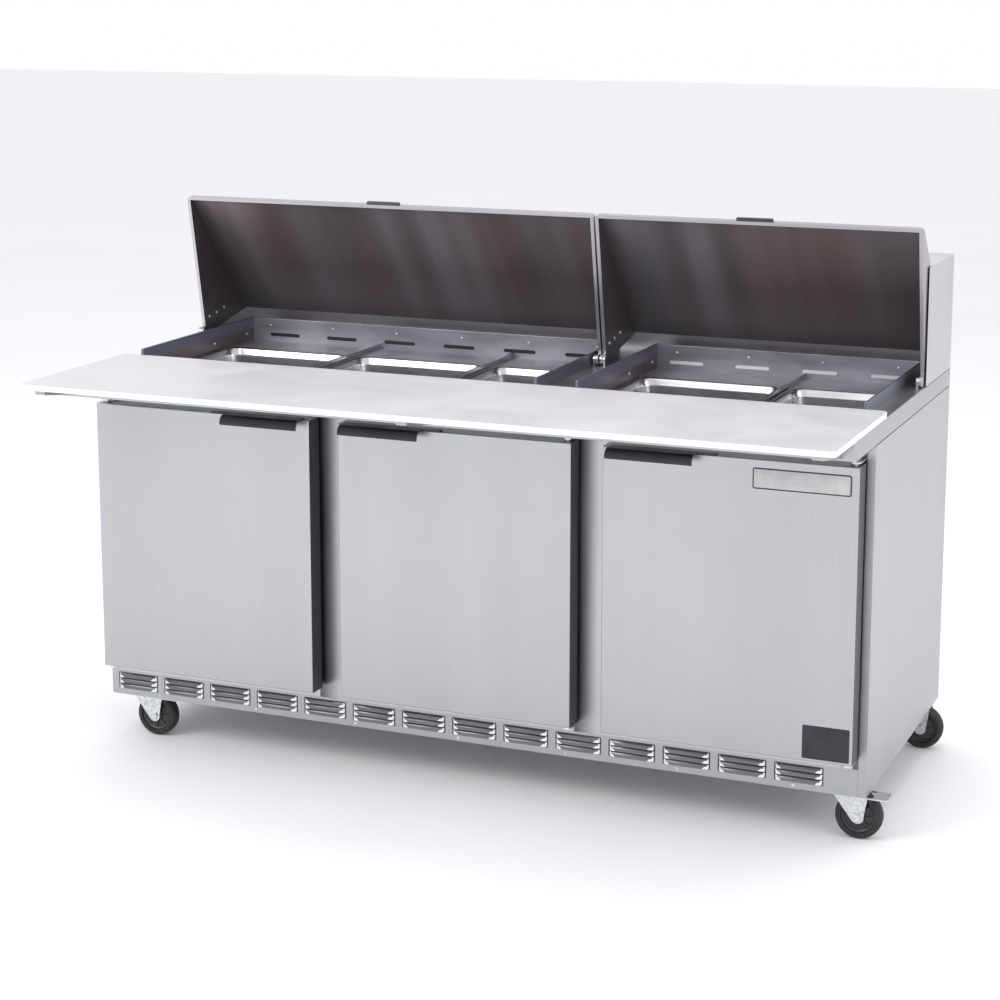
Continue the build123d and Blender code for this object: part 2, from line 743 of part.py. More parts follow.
def door_handle(index):
    """A moulded lip over the door's top edge, near the side that opens."""
    start = door_starts()[index]
    inset = 16.0
    flange_x = start + inset
    if index == 0:
        flange_x = start + DOOR_WIDTH - inset - HANDLE_FLANGE_WIDTH
    lip_x = flange_x if index else flange_x + HANDLE_FLANGE_WIDTH - HANDLE_WIDTH
    flange_front = DOOR_FRONT - 6.0
    flange_back = DOOR_FRONT + 13.0
    flange_bottom = DOOR_TOP + GAP / 3
    top = DOOR_TOP + 2.5
    under = top - 4.5
    front = DOOR_FRONT - 36.0
    bend = front + 18.0
    knee = top - 18.0
    drop = top - 21.0
    with BuildPart() as grip:
        with BuildSketch(Plane.YZ.offset(lip_x)):
            with BuildLine():
                Polyline((DOOR_FRONT, DOOR_TOP), (DOOR_FRONT, top), (bend, top))
                ThreePointArc((bend, top), (front + 5.3, top - 5.3), (front, knee))
                Polyline((front, knee), (front + 1.5, drop), (front + 5.5, drop), (front + 4.5, knee))
                ThreePointArc((front + 4.5, knee), (front + 8.8, top - 9.0), (bend, under))
                Polyline(
                    (bend, under),
                    (DOOR_FRONT - GAP, under),
                    (DOOR_FRONT - GAP, DOOR_TOP),
                    (DOOR_FRONT, DOOR_TOP),
                )
            make_face()
        extrude(amount=HANDLE_WIDTH)
        with BuildSketch(Plane.XY.offset(flange_bottom)):
            with Locations((flange_x + HANDLE_FLANGE_WIDTH / 2, (flange_front + flange_back) / 2)):
                Rectangle(HANDLE_FLANGE_WIDTH, flange_back - flange_front)
        extrude(amount=top - flange_bottom)
    return grip


def door_hinges():
    """A bracket and pin above and below each door."""
    plate = 4.0
    gap = 4.0
    pin = 14.0
    with BuildPart() as hinges:
        for index in range(DOOR_COUNT):
            x = door_hinge_x(index)
            for face, way in ((DOOR_BOTTOM - gap, -1), (DOOR_TOP + gap, 1)):
                with BuildSketch(Plane.XY.offset(face)):
                    with Locations((x, (HINGE_PIN_Y + CABINET_FRONT) / 2)):
                        Rectangle(2 * HINGE_REACH, CABINET_FRONT - HINGE_PIN_Y)
                    with Locations((x, HINGE_PIN_Y)):
                        Circle(HINGE_REACH)
                extrude(amount=way * plate)
                with BuildSketch(Plane.XY.offset(face)):
                    with Locations((x, HINGE_PIN_Y)):
                        Circle(HINGE_PIN_R)
                extrude(amount=-way * (pin + gap))
    return hinges


# ---- cabinet interior ----

def shelf(index):
    """A wire shelf: rods front to back on cross rods and a border."""
    inset = 34.0
    start = door_starts()[index] + inset
    end = door_starts()[index] + DOOR_WIDTH - inset
    rods = 12
    end_inset = 8.0
    weld_sink = 0.6
    pitch = (end - start) / (rods - 1)
    rod_z = SHELF_Z + WIRE_R - weld_sink
    with BuildPart() as grid:
        with BuildSketch(Plane.XZ.offset(-SHELF_FRONT)):
            for i in range(rods):
                with Locations((start + i * pitch, rod_z)):
                    Circle(WIRE_R)
        extrude(amount=-(SHELF_BACK - SHELF_FRONT))
        with BuildSketch(Plane.YZ.offset(start - 2 * WIRE_R)):
            for y in (SHELF_FRONT + end_inset, (SHELF_FRONT + SHELF_BACK) / 2, SHELF_BACK - end_inset):
                with Locations((y, SHELF_Z - WIRE_R)):
                    Circle(WIRE_R)
        extrude(amount=end - start + 4 * WIRE_R)
    return grid


def shelf_supports():
    """Slotted uprights on the mullions and the back wall, and the clips that hold the shelves."""
    low = FLOOR_TOP + 6.0
    high = 740.0
    half = 8.0
    depth = 8.0
    clip_reach = 24.0
    clip_length = 26.0
    clip_thick = 5.0
    front = CABINET_FRONT + FRAME_THICK + GAP
    clip_top = SHELF_Z - 2 * WIRE_R - GAP
    clip_bottom = clip_top - clip_thick
    blocks = []
    for start in door_starts():
        for x, way in ((start + UPRIGHT_INSET, 1), (start + DOOR_WIDTH - UPRIGHT_INSET, -1)):
            near, far = sorted((x, x + way * clip_reach))
            rear = LINER_BACK - depth
            blocks.append(((x - half, front, low), (x + half, front + depth, high)))
            blocks.append(((x - half, rear, low), (x + half, LINER_BACK - GAP, high)))
            blocks.append(((near, front + depth + GAP, clip_bottom), (far, front + depth + clip_length, clip_top)))
            blocks.append(((near, SHELF_BACK - 20.0, clip_bottom), (far, rear - GAP, clip_top)))
    return group(blocks)


def evaporator_shroud():
    """The sheet box round the coil, with the fan's mouth in its front."""
    x = LEFT + EVAP_X
    depth = LINER_BACK - GAP - EVAP_FRONT
    through = 1.0
    z = EVAP_MIDDLE_Z
    height = EVAP_TOP - EVAP_BOTTOM
    with BuildPart() as shroud:
        with BuildSketch(Plane.XZ.offset(-EVAP_FRONT)):
            with Locations((x, z)):
                Rectangle(2 * EVAP_HALF, height)
        extrude(amount=-depth)
        with BuildSketch(Plane.XZ.offset(-EVAP_FRONT - SHROUD_SHEET)):
            with Locations((x, z)):
                Rectangle(2 * EVAP_HALF - 2 * SHROUD_SHEET, height - 2 * SHROUD_SHEET)
        extrude(amount=-depth, mode=Mode.SUBTRACT)
        for hole_x, radius in ((x, FAN_MOUTH_R), (x + KNOB_OFFSET, KNOB_SHAFT_R + HINGE_FIT)):
            with BuildSketch(Plane.XZ.offset(-EVAP_FRONT + through)):
                with Locations((hole_x, z)):
                    Circle(radius)
            extrude(amount=-SHROUD_SHEET - 2 * through, mode=Mode.SUBTRACT)
    return shroud


def thermostat_knob():
    """A fluted temperature knob on its shaft."""
    x = LEFT + EVAP_X + KNOB_OFFSET
    z = EVAP_MIDDLE_Z
    radius = 17.0
    length = 16.0
    shaft = 10.0
    clear = 1.0
    flutes = 12
    flute_r = 3.0
    with BuildPart() as knob:
        with BuildSketch(Plane.XZ.offset(-EVAP_FRONT + clear)):
            with Locations((x, z)):
                Circle(radius)
                with PolarLocations(radius + flute_r / 2, flutes):
                    Circle(flute_r, mode=Mode.SUBTRACT)
        extrude(amount=length)
        with BuildSketch(Plane.XZ.offset(-EVAP_FRONT + clear)):
            with Locations((x, z)):
                Circle(KNOB_SHAFT_R)
        extrude(amount=-shaft)
    return knob


def finned_coil(low, high, tube_axis, tube_rows):
    """A coil block: a row of thin fins crossed by tubes along X or Y."""
    fins = 15
    tube_r = 5.0
    fin = 1.2
    end_inset = 2.0
    middle = [(a + b) / 2 for a, b in zip(low, high)]
    size = [b - a for a, b in zip(low, high)]
    along = 0 if tube_axis == "X" else 1
    across = 1 - along
    length = size[along]
    pitch = (length - 2 * end_inset) / (fins - 1)
    # Plane.YZ faces +X and Plane.XZ faces -Y, so the second runs its offsets backwards
    base = Plane.YZ if tube_axis == "X" else Plane.XZ
    way = 1 if tube_axis == "X" else -1
    centre = (middle[across], middle[2])
    with BuildPart() as coil:
        for i in range(fins):
            place = low[along] + end_inset + i * pitch - fin / 2
            with BuildSketch(base.offset(way * place)):
                with Locations(centre):
                    Rectangle(size[across], size[2])
            extrude(amount=way * fin)
        with BuildSketch(base.offset(way * low[along])):
            with Locations(centre):
                with GridLocations(size[across] / 2, size[2] / tube_rows, 2, tube_rows):
                    Circle(tube_r)
        extrude(amount=way * length)
    return coil


def condenser_shroud():
    """A plate behind the condenser coil with a collar round its fan."""
    x = CONDENSER_X + CONDENSER_THICK + 4.0
    collar = 22.0
    foot = 24.0
    foot_thick = 2.0
    with BuildPart() as shroud:
        with BuildSketch(Plane.YZ.offset(x)):
            with Locations((CONDENSER_Y, CONDENSER_Z)):
                Rectangle(2 * CONDENSER_HALF_Y, 2 * CONDENSER_HALF_Z)
                Circle(FAN_MOUTH_R, mode=Mode.SUBTRACT)
        extrude(amount=SHROUD_SHEET)
        with BuildSketch(Plane.YZ.offset(x)):
            with Locations((CONDENSER_Y, CONDENSER_Z)):
                Circle(FAN_MOUTH_R + SHROUD_SHEET)
                Circle(FAN_MOUTH_R, mode=Mode.SUBTRACT)
        extrude(amount=collar)
        with BuildSketch(Plane.XY.offset(GRILLE_TOP)):
            with Locations((x + foot / 2, CONDENSER_Y)):
                Rectangle(foot, 2 * CONDENSER_HALF_Y)
        extrude(amount=foot_thick)
        with BuildSketch(Plane.XY.offset(GRILLE_TOP)):
            with Locations((x + SHROUD_SHEET / 2, CONDENSER_Y)):
                Rectangle(SHROUD_SHEET, 2 * CONDENSER_HALF_Y)
        extrude(amount=CONDENSER_Z - CONDENSER_HALF_Z - GRILLE_TOP + 1.0)
    return shroud


def fan_motors():
    """The two fan motors, each on a stub shaft towards its blades and a foot."""
    motor_r = 24.0
    length = 26.0
    shaft = 14.5
    foot_width = 12.0
    foot_length = length - 4.0
    evap_x = LEFT + EVAP_X
    evap_y = EVAP_FRONT + 26.0
    cond_x = CONDENSER_X + 70.0
    evap_foot = EVAP_BOTTOM + SHROUD_SHEET + GAP
    with BuildPart() as motors:
        for radius, depth in ((motor_r, -length), (FAN_SHAFT_R, shaft)):
            with BuildSketch(Plane.XZ.offset(-evap_y)):
                with Locations((evap_x, EVAP_MIDDLE_Z)):
                    Circle(radius)
            extrude(amount=depth)
            with BuildSketch(Plane.YZ.offset(cond_x)):
                with Locations((CONDENSER_Y, CONDENSER_Z)):
                    Circle(radius)
            extrude(amount=-depth)
        with BuildSketch(Plane.XY.offset(evap_foot)):
            with Locations((evap_x, evap_y + length / 2)):
                Rectangle(foot_width, foot_length)
        extrude(amount=EVAP_MIDDLE_Z - motor_r - evap_foot + 1.0)
        with BuildSketch(Plane.XY.offset(GRILLE_TOP)):
            with Locations((cond_x + length / 2, CONDENSER_Y)):
                Rectangle(foot_length, foot_width)
        extrude(amount=CONDENSER_Z - GRILLE_TOP - motor_r + 1.0)
    return motors


def fan_blades(plane):
    """Five pitched blades on a hub bored for the motor's shaft."""
    blades = 5
    hub_r = 14.0
    hub_length = 12.0
    bore = 10.0
    pitch_angle = 28.0
    chord = 24.0
    tip_corner = 6.0
    half_thick = 1.6
    root_overlap = 3.0
    blade_length = FAN_R - hub_r - 2.0
    with BuildPart() as blade:
        with BuildSketch(Plane.XY):
            with Locations(((hub_r + FAN_R) / 2 - root_overlap, 0)):
                RectangleRounded(blade_length, chord, tip_corner)
        extrude(amount=half_thick, both=True)
    tilted = blade.part.rotate(Axis.X, pitch_angle).moved(Location((0, 0, hub_length / 2)))
    with BuildPart() as rotor:
        with BuildSketch(Plane.XY):
            Circle(hub_r)
        extrude(amount=hub_length)
        for i in range(blades):
            add(tilted.rotate(Axis.Z, i * 360.0 / blades))
        with BuildSketch(Plane.XY):
            Circle(FAN_SHAFT_R + HINGE_FIT)
        extrude(amount=bore, mode=Mode.SUBTRACT)
    rotor.part = rotor.part.moved(plane.location)
    return rotor


def compressor():
    """A welded compressor can on a base plate with feet and two stub pipes."""
    can_r = 66.0
    can_low = GRILLE_TOP + 26.0
    can_height = 170.0
    dome_r = 26.0
    plate_low = GRILLE_TOP + 14.0
    plate_thick = 3.0
    plate_half_x = 95.0
    plate_half_y = 68.0
    plate_corner = 14.0
    foot_r = 11.0
    foot_inset = 15.0
    saddle_r = can_r - 12.0
    pipe_r = 5.0
    pipe_x = 24.0
    pipe_length = 40.0
    place = (COMPRESSOR_X, CONDENSER_Y)
    with BuildPart() as pump:
        with BuildSketch(Plane.XY.offset(plate_low)):
            with Locations(place):
                RectangleRounded(2 * plate_half_x, 2 * plate_half_y, plate_corner)
        extrude(amount=plate_thick)
        with BuildSketch(Plane.XY.offset(GRILLE_TOP)):
            with Locations(place):
                with GridLocations(2 * (plate_half_x - foot_inset), 2 * (plate_half_y - foot_inset), 2, 2):
                    Circle(foot_r)
        extrude(amount=plate_low - GRILLE_TOP + 1.0)
        with BuildSketch(Plane.XY.offset(plate_low + plate_thick - 1.0)):
            with Locations(place):
                Circle(saddle_r)
        extrude(amount=can_low - plate_low)
        with BuildSketch(Plane.XY.offset(can_low)):
            with Locations(place):
                Circle(can_r)
        extrude(amount=can_height)
        top_rim = pump.edges().filter_by(GeomType.CIRCLE).sort_by(Axis.Z)[-1]
        fillet(top_rim, radius=dome_r)
        with BuildSketch(Plane.XY.offset(can_low + can_height - 2.0)):
            with Locations(place):
                with GridLocations(2 * pipe_x, 0.0, 2, 1):
                    Circle(pipe_r)
        extrude(amount=pipe_length)
    return pump


# ---- casters ----

def caster_rows():
    """Y of the front and rear swivels."""
    front_inset = 48.0
    rear_inset = 64.0
    return CABINET_FRONT + front_inset, BACK - rear_inset


def caster_spots():
    """Name and XY of each swivel."""
    front, rear = caster_rows()
    return {
        "front_left": (LEFT + SWIVEL_INSET, front),
        "front_right": (RIGHT - SWIVEL_INSET, front),
        "rear_left": (LEFT + SWIVEL_INSET, rear),
        "rear_right": (RIGHT - SWIVEL_INSET, rear),
    }


def caster_plates():
    """The four bolted top plates, each with its fixed kingpin."""
    plate_clear = 2.0
    plate_corner = 6.0
    pin_low = CROWN_BOTTOM + 2.0
    with BuildPart() as plates:
        for x, y in caster_spots().values():
            with BuildSketch(Plane.XY.offset(PLATE_TOP - PLATE_THICK)):
                with Locations((x, y)):
                    RectangleRounded(PLATE_SIZE - plate_clear, PLATE_SIZE - plate_clear, plate_corner)
            extrude(amount=PLATE_THICK - GAP / 3)
            with BuildSketch(Plane.XY.offset(pin_low)):
                with Locations((x, y)):
                    Circle(KINGPIN_R)
            extrude(amount=PLATE_TOP - PLATE_THICK - pin_low + 1.0)
    return plates


def caster_fork(spot, braked):
    """A swivel fork: race, crown, two legs and the axle bolt across them."""
    x, y = spot
    axle = (x + CASTER_TRAIL, WHEEL_R)
    pivot = (axle[0] + BRAKE_PIVOT[0], axle[1] + BRAKE_PIVOT[1])
    leg_y = WHEEL_WIDTH / 2 + FORK_GAP
    outer_y = leg_y + FORK_SHEET
    race_low = CROWN_BOTTOM + CROWN_THICK
    race_top = PLATE_TOP - PLATE_THICK - GAP
    crown_r = 40.0
    race_r = 29.0
    leg_back = 26.0
    leg_front = 34.0
    toe = 12.0
    toe_drop = 8.0
    eye_r = 14.0
    nut_r = 8.5
    nut_thick = 5.0
    bolt_reach = outer_y + 4.0
    brake_pin = 5.0
    with BuildPart() as fork:
        for low, high, radius in ((CROWN_BOTTOM, race_low, crown_r), (race_low, race_top, race_r)):
            with BuildSketch(Plane.XY.offset(low)):
                with Locations((x, y)):
                    Circle(radius)
            extrude(amount=high - low)
        with BuildSketch(Plane.XY.offset(CROWN_BOTTOM - 1.0)):
            with Locations((x, y)):
                Circle(KINGPIN_R + HINGE_FIT)
        extrude(amount=race_top - CROWN_BOTTOM + 2.0, mode=Mode.SUBTRACT)
        for inner in (-outer_y, leg_y):
            with BuildSketch(Plane.XZ.offset(-(y + inner))):
                with BuildLine():
                    Polyline(
                        (x - leg_back, CROWN_BOTTOM + 1.0),
                        (x + leg_front, CROWN_BOTTOM + 1.0),
                        (pivot[0] + 7.0, pivot[1]),
                        (axle[0] + toe, axle[1] - toe_drop),
                        (axle[0] - toe, axle[1] - toe_drop),
                        close=True,
                    )
                make_face()
                with Locations(axle):
                    Circle(eye_r)
            extrude(amount=-FORK_SHEET)
        with BuildSketch(Plane.XZ.offset(-(y - bolt_reach))):
            with Locations(axle):
                Circle(AXLE_R)
        extrude(amount=-2 * bolt_reach)
        for head in (-outer_y - nut_thick, outer_y):
            with BuildSketch(Plane.XZ.offset(-(y + head))):
                with Locations(axle):
                    RegularPolygon(nut_r, 6)
            extrude(amount=-nut_thick)
        if braked:
            for start in (1.0 - outer_y - brake_pin, outer_y - 1.0):
                with BuildSketch(Plane.XZ.offset(-(y + start))):
                    with Locations(pivot):
                        Circle(BRAKE_PIN_R)
                extrude(amount=-brake_pin)
    return fork


def caster_wheel(spot):
    """A rubber-tyred wheel with a dished hub, bored for its axle."""
    x, y = spot
    axle = (x + CASTER_TRAIL, WHEEL_R)
    half = WHEEL_WIDTH / 2
    shoulder_r = 6.0
    dish_r = WHEEL_R - 14.0
    dish_depth = 6.0
    boss_r = 15.0
    with BuildPart() as wheel:
        with BuildSketch(Plane.XZ.offset(-(y - half))):
            with Locations(axle):
                Circle(WHEEL_R)
        extrude(amount=-WHEEL_WIDTH)
        fillet(wheel.edges().filter_by(GeomType.CIRCLE), radius=shoulder_r)
        for face, way in ((y - half, -1), (y + half, 1)):
            with BuildSketch(Plane.XZ.offset(-face)):
                with Locations(axle):
                    Circle(dish_r)
                    Circle(boss_r, mode=Mode.SUBTRACT)
            extrude(amount=way * dish_depth, mode=Mode.SUBTRACT)
        with BuildSketch(Plane.XZ.offset(-(y - half - 1.0))):
            with Locations(axle):
                Circle(AXLE_R + HINGE_FIT)
        extrude(amount=-WHEEL_WIDTH - 2.0, mode=Mode.SUBTRACT)
    return wheel


def brake_pedal(spot):
    """A foot pedal with an ear outside each leg of the fork."""
    x, y = spot
    px = x + CASTER_TRAIL + BRAKE_PIVOT[0]
    pz = WHEEL_R + BRAKE_PIVOT[1]
    ear_gap = 0.5
    ear_y = WHEEL_WIDTH / 2 + FORK_GAP + FORK_SHEET + ear_gap
    sheet = 2.5
    tread_thick = 3.0
    tread_x = px + 34.0
    tread_length = 32.0
    tread_corner = 5.0
    arm_x = px + 10.0
    arm_length = 22.0
    ear_r = 5.0
    with BuildPart() as pedal:
        with BuildSketch(Plane.XY.offset(pz - tread_thick / 2)):
            with Locations((tread_x, y)):
                RectangleRounded(tread_length, 2 * (ear_y + sheet), tread_corner)
        extrude(amount=tread_thick)
        for start in (-ear_y - sheet, ear_y):
            with BuildSketch(Plane.XZ.offset(-(y + start))):
                with Locations((arm_x, pz)):
                    Rectangle(arm_length, tread_thick)
                with Locations((px, pz)):
                    Circle(ear_r)
                    Circle(BRAKE_PIN_R + HINGE_FIT, mode=Mode.SUBTRACT)
            extrude(amount=-sheet)
        with BuildSketch(Plane.XZ.offset(-(y - ear_y - sheet - 1.0))):
            with Locations((px, pz)):
                Circle(BRAKE_PIN_R + HINGE_FIT)
        extrude(amount=-2 * (ear_y + sheet + 1.0), mode=Mode.SUBTRACT)
    return pedal


# ---- build every node ----

os.makedirs("parts", exist_ok=True)

save(side_panel(LEFT, 1), "left_side_panel")
save(side_panel(RIGHT, -1), "right_side_panel")
save(rear_panel(), "rear_panel")
save(front_frame(), "front_frame")
save(grille(), "grille")
save(base_deck(), "base_deck")
save(base_rails(), "base_rails")
save(insulation(), "insulation")
save(cabinet_liner(), "cabinet_liner")
save(countertop(), "countertop")
save(cutting_board(), "cutting_board")
save(board_supports(), "board_supports")
save(divider_bars(), "divider_bars")
save(rear_housing(), "rear_housing")
save(lid_hinges(), "lid_hinges")
save(door_hinges(), "door_hinges")
save(shelf_supports(), "shelf_supports")

for side in WELLS:
    save(pan_well(side), side + "_pan_well")
    save(lid(side), side + "_lid")
    save(lid_handle(side), side + "_lid_handle")
    for number, span in enumerate(pan_spans(side), 1):
        save(pan(span), side + "_pan_" + str(number))

for index, place in enumerate(("left", "middle", "right")):
    save(door(index), place + "_door")
    save(door_gasket(index), place + "_door_gasket")
    save(door_handle(index), place + "_door_handle")
    save(shelf(index), place + "_shelf")

coil_low = (LEFT + EVAP_X - EVAP_HALF + 12.0, LINER_BACK - 46.0, EVAP_BOTTOM + 10.0)
coil_high = (LEFT + EVAP_X + EVAP_HALF - 12.0, LINER_BACK - 4.0, EVAP_TOP - 10.0)
save(evaporator_shroud(), "evaporator_shroud")
save(finned_coil(coil_low, coil_high, "X", 4), "evaporator_coil")
save(thermostat_knob(), "thermostat_knob")

coil_low = (CONDENSER_X, CONDENSER_Y - CONDENSER_HALF_Y, CONDENSER_Z - CONDENSER_HALF_Z)
coil_high = (CONDENSER_X + CONDENSER_THICK, CONDENSER_Y + CONDENSER_HALF_Y, CONDENSER_Z + CONDENSER_HALF_Z)
save(finned_coil(coil_low, coil_high, "Y", 6), "condenser_coil")
save(condenser_shroud(), "condenser_shroud")
save(compressor(), "compressor")
save(fan_motors(), "fan_motors")

evap_centre = (LEFT + EVAP_X, EVAP_FRONT + 19.0, EVAP_MIDDLE_Z)
save(fan_blades(Plane(origin=evap_centre, z_dir=(0, -1, 0))), "evaporator_fan_blades")
cond_centre = (CONDENSER_X + 64.5, CONDENSER_Y, CONDENSER_Z)
save(fan_blades(Plane(origin=cond_centre, z_dir=(-1, 0, 0))), "condenser_fan_blades")

save(caster_plates(), "caster_plates")
for place, spot in caster_spots().items():
    braked = place.startswith("front")
    save(caster_fork(spot, braked), place + "_caster_fork")
    save(caster_wheel(spot), place + "_wheel")
    if braked:
        save(brake_pedal(spot), place + "_brake_pedal")
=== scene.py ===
import math

import bmesh
import bpy
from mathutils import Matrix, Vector


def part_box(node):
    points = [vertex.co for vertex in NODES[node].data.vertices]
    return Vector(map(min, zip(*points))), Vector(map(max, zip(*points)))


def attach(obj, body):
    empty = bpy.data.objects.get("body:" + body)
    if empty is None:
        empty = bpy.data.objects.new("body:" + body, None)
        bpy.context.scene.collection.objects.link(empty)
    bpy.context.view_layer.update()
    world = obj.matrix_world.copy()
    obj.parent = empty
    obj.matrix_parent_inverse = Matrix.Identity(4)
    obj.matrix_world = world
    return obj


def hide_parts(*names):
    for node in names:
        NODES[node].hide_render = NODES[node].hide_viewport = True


# Looks for a three-door refrigerated sandwich prep table. Lengths are metres, in the CAD frame.

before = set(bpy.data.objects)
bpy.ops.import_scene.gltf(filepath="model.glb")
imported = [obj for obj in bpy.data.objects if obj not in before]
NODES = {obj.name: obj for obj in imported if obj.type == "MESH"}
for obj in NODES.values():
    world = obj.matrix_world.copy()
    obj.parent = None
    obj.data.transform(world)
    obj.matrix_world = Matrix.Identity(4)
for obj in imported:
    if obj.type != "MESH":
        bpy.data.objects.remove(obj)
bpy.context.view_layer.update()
SIDES = ("left", "right")
DOORS = ("left", "middle", "right")
CASTERS = ("front_left", "front_right", "rear_left", "rear_right")
PANS = ("left_pan_1", "left_pan_2", "left_pan_3", "right_pan_1", "right_pan_2")
X_AXIS = Vector((1, 0, 0))
Y_AXIS = Vector((0, 1, 0))
Z_AXIS = Vector((0, 0, 1))

# Sizes used below, in metres.
WELL_HEM = 0.006
LID_WALL = 0.008
SURFACE_LIFT = 0.0004
SHEET = 0.0012
CASTER_TRAIL = 0.036
DOOR_EDGE = 0.012


# ---------------------------------------------------------------- material helpers

class Look:
    """A node material with short helpers for its texture network."""

    def __init__(self, name, rough=0.4, metallic=0.0):
        self.material = bpy.data.materials.new(name)
        self.material.use_nodes = True
        self.nodes = self.material.node_tree.nodes
        self.links = self.material.node_tree.links
        self.shader = self.nodes["Principled BSDF"]
        self.shader.inputs["Roughness"].default_value = rough
        self.shader.inputs["Metallic"].default_value = metallic
        self.coords = self.nodes.new("ShaderNodeTexCoord")

    def space(self, scale=(1, 1, 1), turn=(0, 0, 0)):
        node = self.nodes.new("ShaderNodeMapping")
        node.inputs["Scale"].default_value = scale
        node.inputs["Rotation"].default_value = turn
        self.links.new(self.coords.outputs["Object"], node.inputs["Vector"])
        return node.outputs["Vector"]

    def noise(self, vector, scale, detail=3.0, rough=0.5, distortion=0.0):
        node = self.nodes.new("ShaderNodeTexNoise")
        node.inputs["Scale"].default_value = scale
        node.inputs["Detail"].default_value = detail
        node.inputs["Roughness"].default_value = rough
        node.inputs["Distortion"].default_value = distortion
        self.links.new(vector, node.inputs["Vector"])
        return node.outputs["Fac"]

    def voronoi(self, vector, scale, output="Distance", feature="F1"):
        node = self.nodes.new("ShaderNodeTexVoronoi")
        node.feature = feature
        node.inputs["Scale"].default_value = scale
        self.links.new(vector, node.inputs["Vector"])
        return node.outputs[output]

    def ramp(self, value, stops):
        node = self.nodes.new("ShaderNodeValToRGB")
        elements = node.color_ramp.elements
        while len(elements) < len(stops):
            elements.new(0.5)
        for element, (position, colour) in zip(elements, stops):
            element.position = position
            element.color = (*colour, 1)
        self.links.new(value, node.inputs["Fac"])
        return node.outputs["Color"]

    def span(self, value, low, high, start=0.0, end=1.0):
        node = self.nodes.new("ShaderNodeMapRange")
        node.inputs["From Min"].default_value = start
        node.inputs["From Max"].default_value = end
        node.inputs["To Min"].default_value = low
        node.inputs["To Max"].default_value = high
        self.links.new(value, node.inputs["Value"])
        return node.outputs["Result"]

    def math(self, operation, first, second=0.5):
        node = self.nodes.new("ShaderNodeMath")
        node.operation = operation
        for socket, value in zip(node.inputs, (first, second)):
            if isinstance(value, (int, float)):
                socket.default_value = value
            else:
                self.links.new(value, socket)
        return node.outputs["Value"]

    def mix(self, share, first, second, blend="MIX"):
        node = self.nodes.new("ShaderNodeMix")
        node.data_type = "RGBA"
        node.blend_type = blend
        if isinstance(share, (int, float)):
            node.inputs["Factor"].default_value = share
        else:
            self.links.new(share, node.inputs["Factor"])
        for socket, value in ((node.inputs["A"], first), (node.inputs["B"], second)):
            colour_socket = [s for s in node.inputs if s.type == "RGBA" and s.name == socket.name][0]
            if isinstance(value, tuple):
                colour_socket.default_value = (*value, 1)
            else:
                self.links.new(value, colour_socket)
        return [s for s in node.outputs if s.type == "RGBA"][0]

    def axis(self, name, output="Object"):
        node = self.nodes.new("ShaderNodeSeparateXYZ")
        self.links.new(self.coords.outputs[output], node.inputs["Vector"])
        return node.outputs[name]

    def bump(self, height, strength, distance):
        node = self.nodes.new("ShaderNodeBump")
        node.inputs["Strength"].default_value = strength
        node.inputs["Distance"].default_value = distance
        self.links.new(height, node.inputs["Height"])
        self.links.new(node.outputs["Normal"], self.shader.inputs["Normal"])

    def colour(self, socket):
        self.links.new(socket, self.shader.inputs["Base Color"])

    def roughness(self, socket):
        self.links.new(socket, self.shader.inputs["Roughness"])

    def metallic(self, socket):
        self.links.new(socket, self.shader.inputs["Metallic"])


GRAIN = {"X": (4, 900, 900), "Y": (900, 4, 900), "Z": (900, 900, 4)}
BANDS = {"X": (0.25, 7, 7), "Y": (7, 0.25, 7), "Z": (7, 7, 0.25)}


def fade(look, low, high, low_share, high_share, axis="Z"):
    """Multiply the colour found so far by a soft slope from low to high along an axis: painted light and shade."""
    found = look.shader.inputs["Base Color"].links[0].from_socket
    share = look.span(look.axis(axis), low_share, high_share, low, high)
    tone = look.nodes.new("ShaderNodeCombineColor")
    for socket in tone.inputs[:3]:
        look.links.new(share, socket)
    look.colour(look.mix(1.0, found, tone.outputs["Color"], "MULTIPLY"))
    return look


def brushed(name, dark, light, rough=(0.26, 0.40), grain="Z", bump=0.12, bands=0.35):
    """Brushed sheet: fine grain one way, long soft bands and faint smears."""
    look = Look(name, metallic=1.0)
    fine = look.noise(look.space(GRAIN[grain]), 1.0, 4.0, 0.65)
    band = look.noise(look.space(BANDS[grain]), 1.0, 2.0, 0.5)
    smear = look.noise(look.space(), 3.5, 4.0, 0.55, 0.6)
    blend = look.math("ADD", look.math("MULTIPLY", fine, 1 - bands), look.math("MULTIPLY", band, bands))
    base = look.ramp(blend, [(0.36, dark), (0.64, light)])
    cloud = look.ramp(smear, [(0.3, (0.93, 0.93, 0.935)), (0.7, (1, 1, 1))])
    look.colour(look.mix(1.0, base, cloud, "MULTIPLY"))
    shine = look.math("ADD", look.math("MULTIPLY", fine, 0.5), look.math("MULTIPLY", smear, 0.5))
    look.roughness(look.span(shine, rough[0], rough[1], 0.3, 0.7))
    look.bump(fine, bump, 0.0002)
    look.shader.inputs["Anisotropic"].default_value = 0.35
    return look


def steel(name, grain="Z"):
    return brushed(name, (0.475, 0.480, 0.498), (0.525, 0.530, 0.548), grain=grain, bump=0.08).material


def side_steel():
    """The cabinet's sides, painted bright under the worktop and duller towards the floor: painted light and shade.
    """
    look = brushed("side_steel", (0.50, 0.505, 0.522), (0.54, 0.545, 0.562), grain="Z", bump=0.08)
    low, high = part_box("right_side_panel")
    # Painted light and shade: lighter towards the top, darker towards the floor.
    return fade(look, low.z, high.z, 0.82, 1.06).material


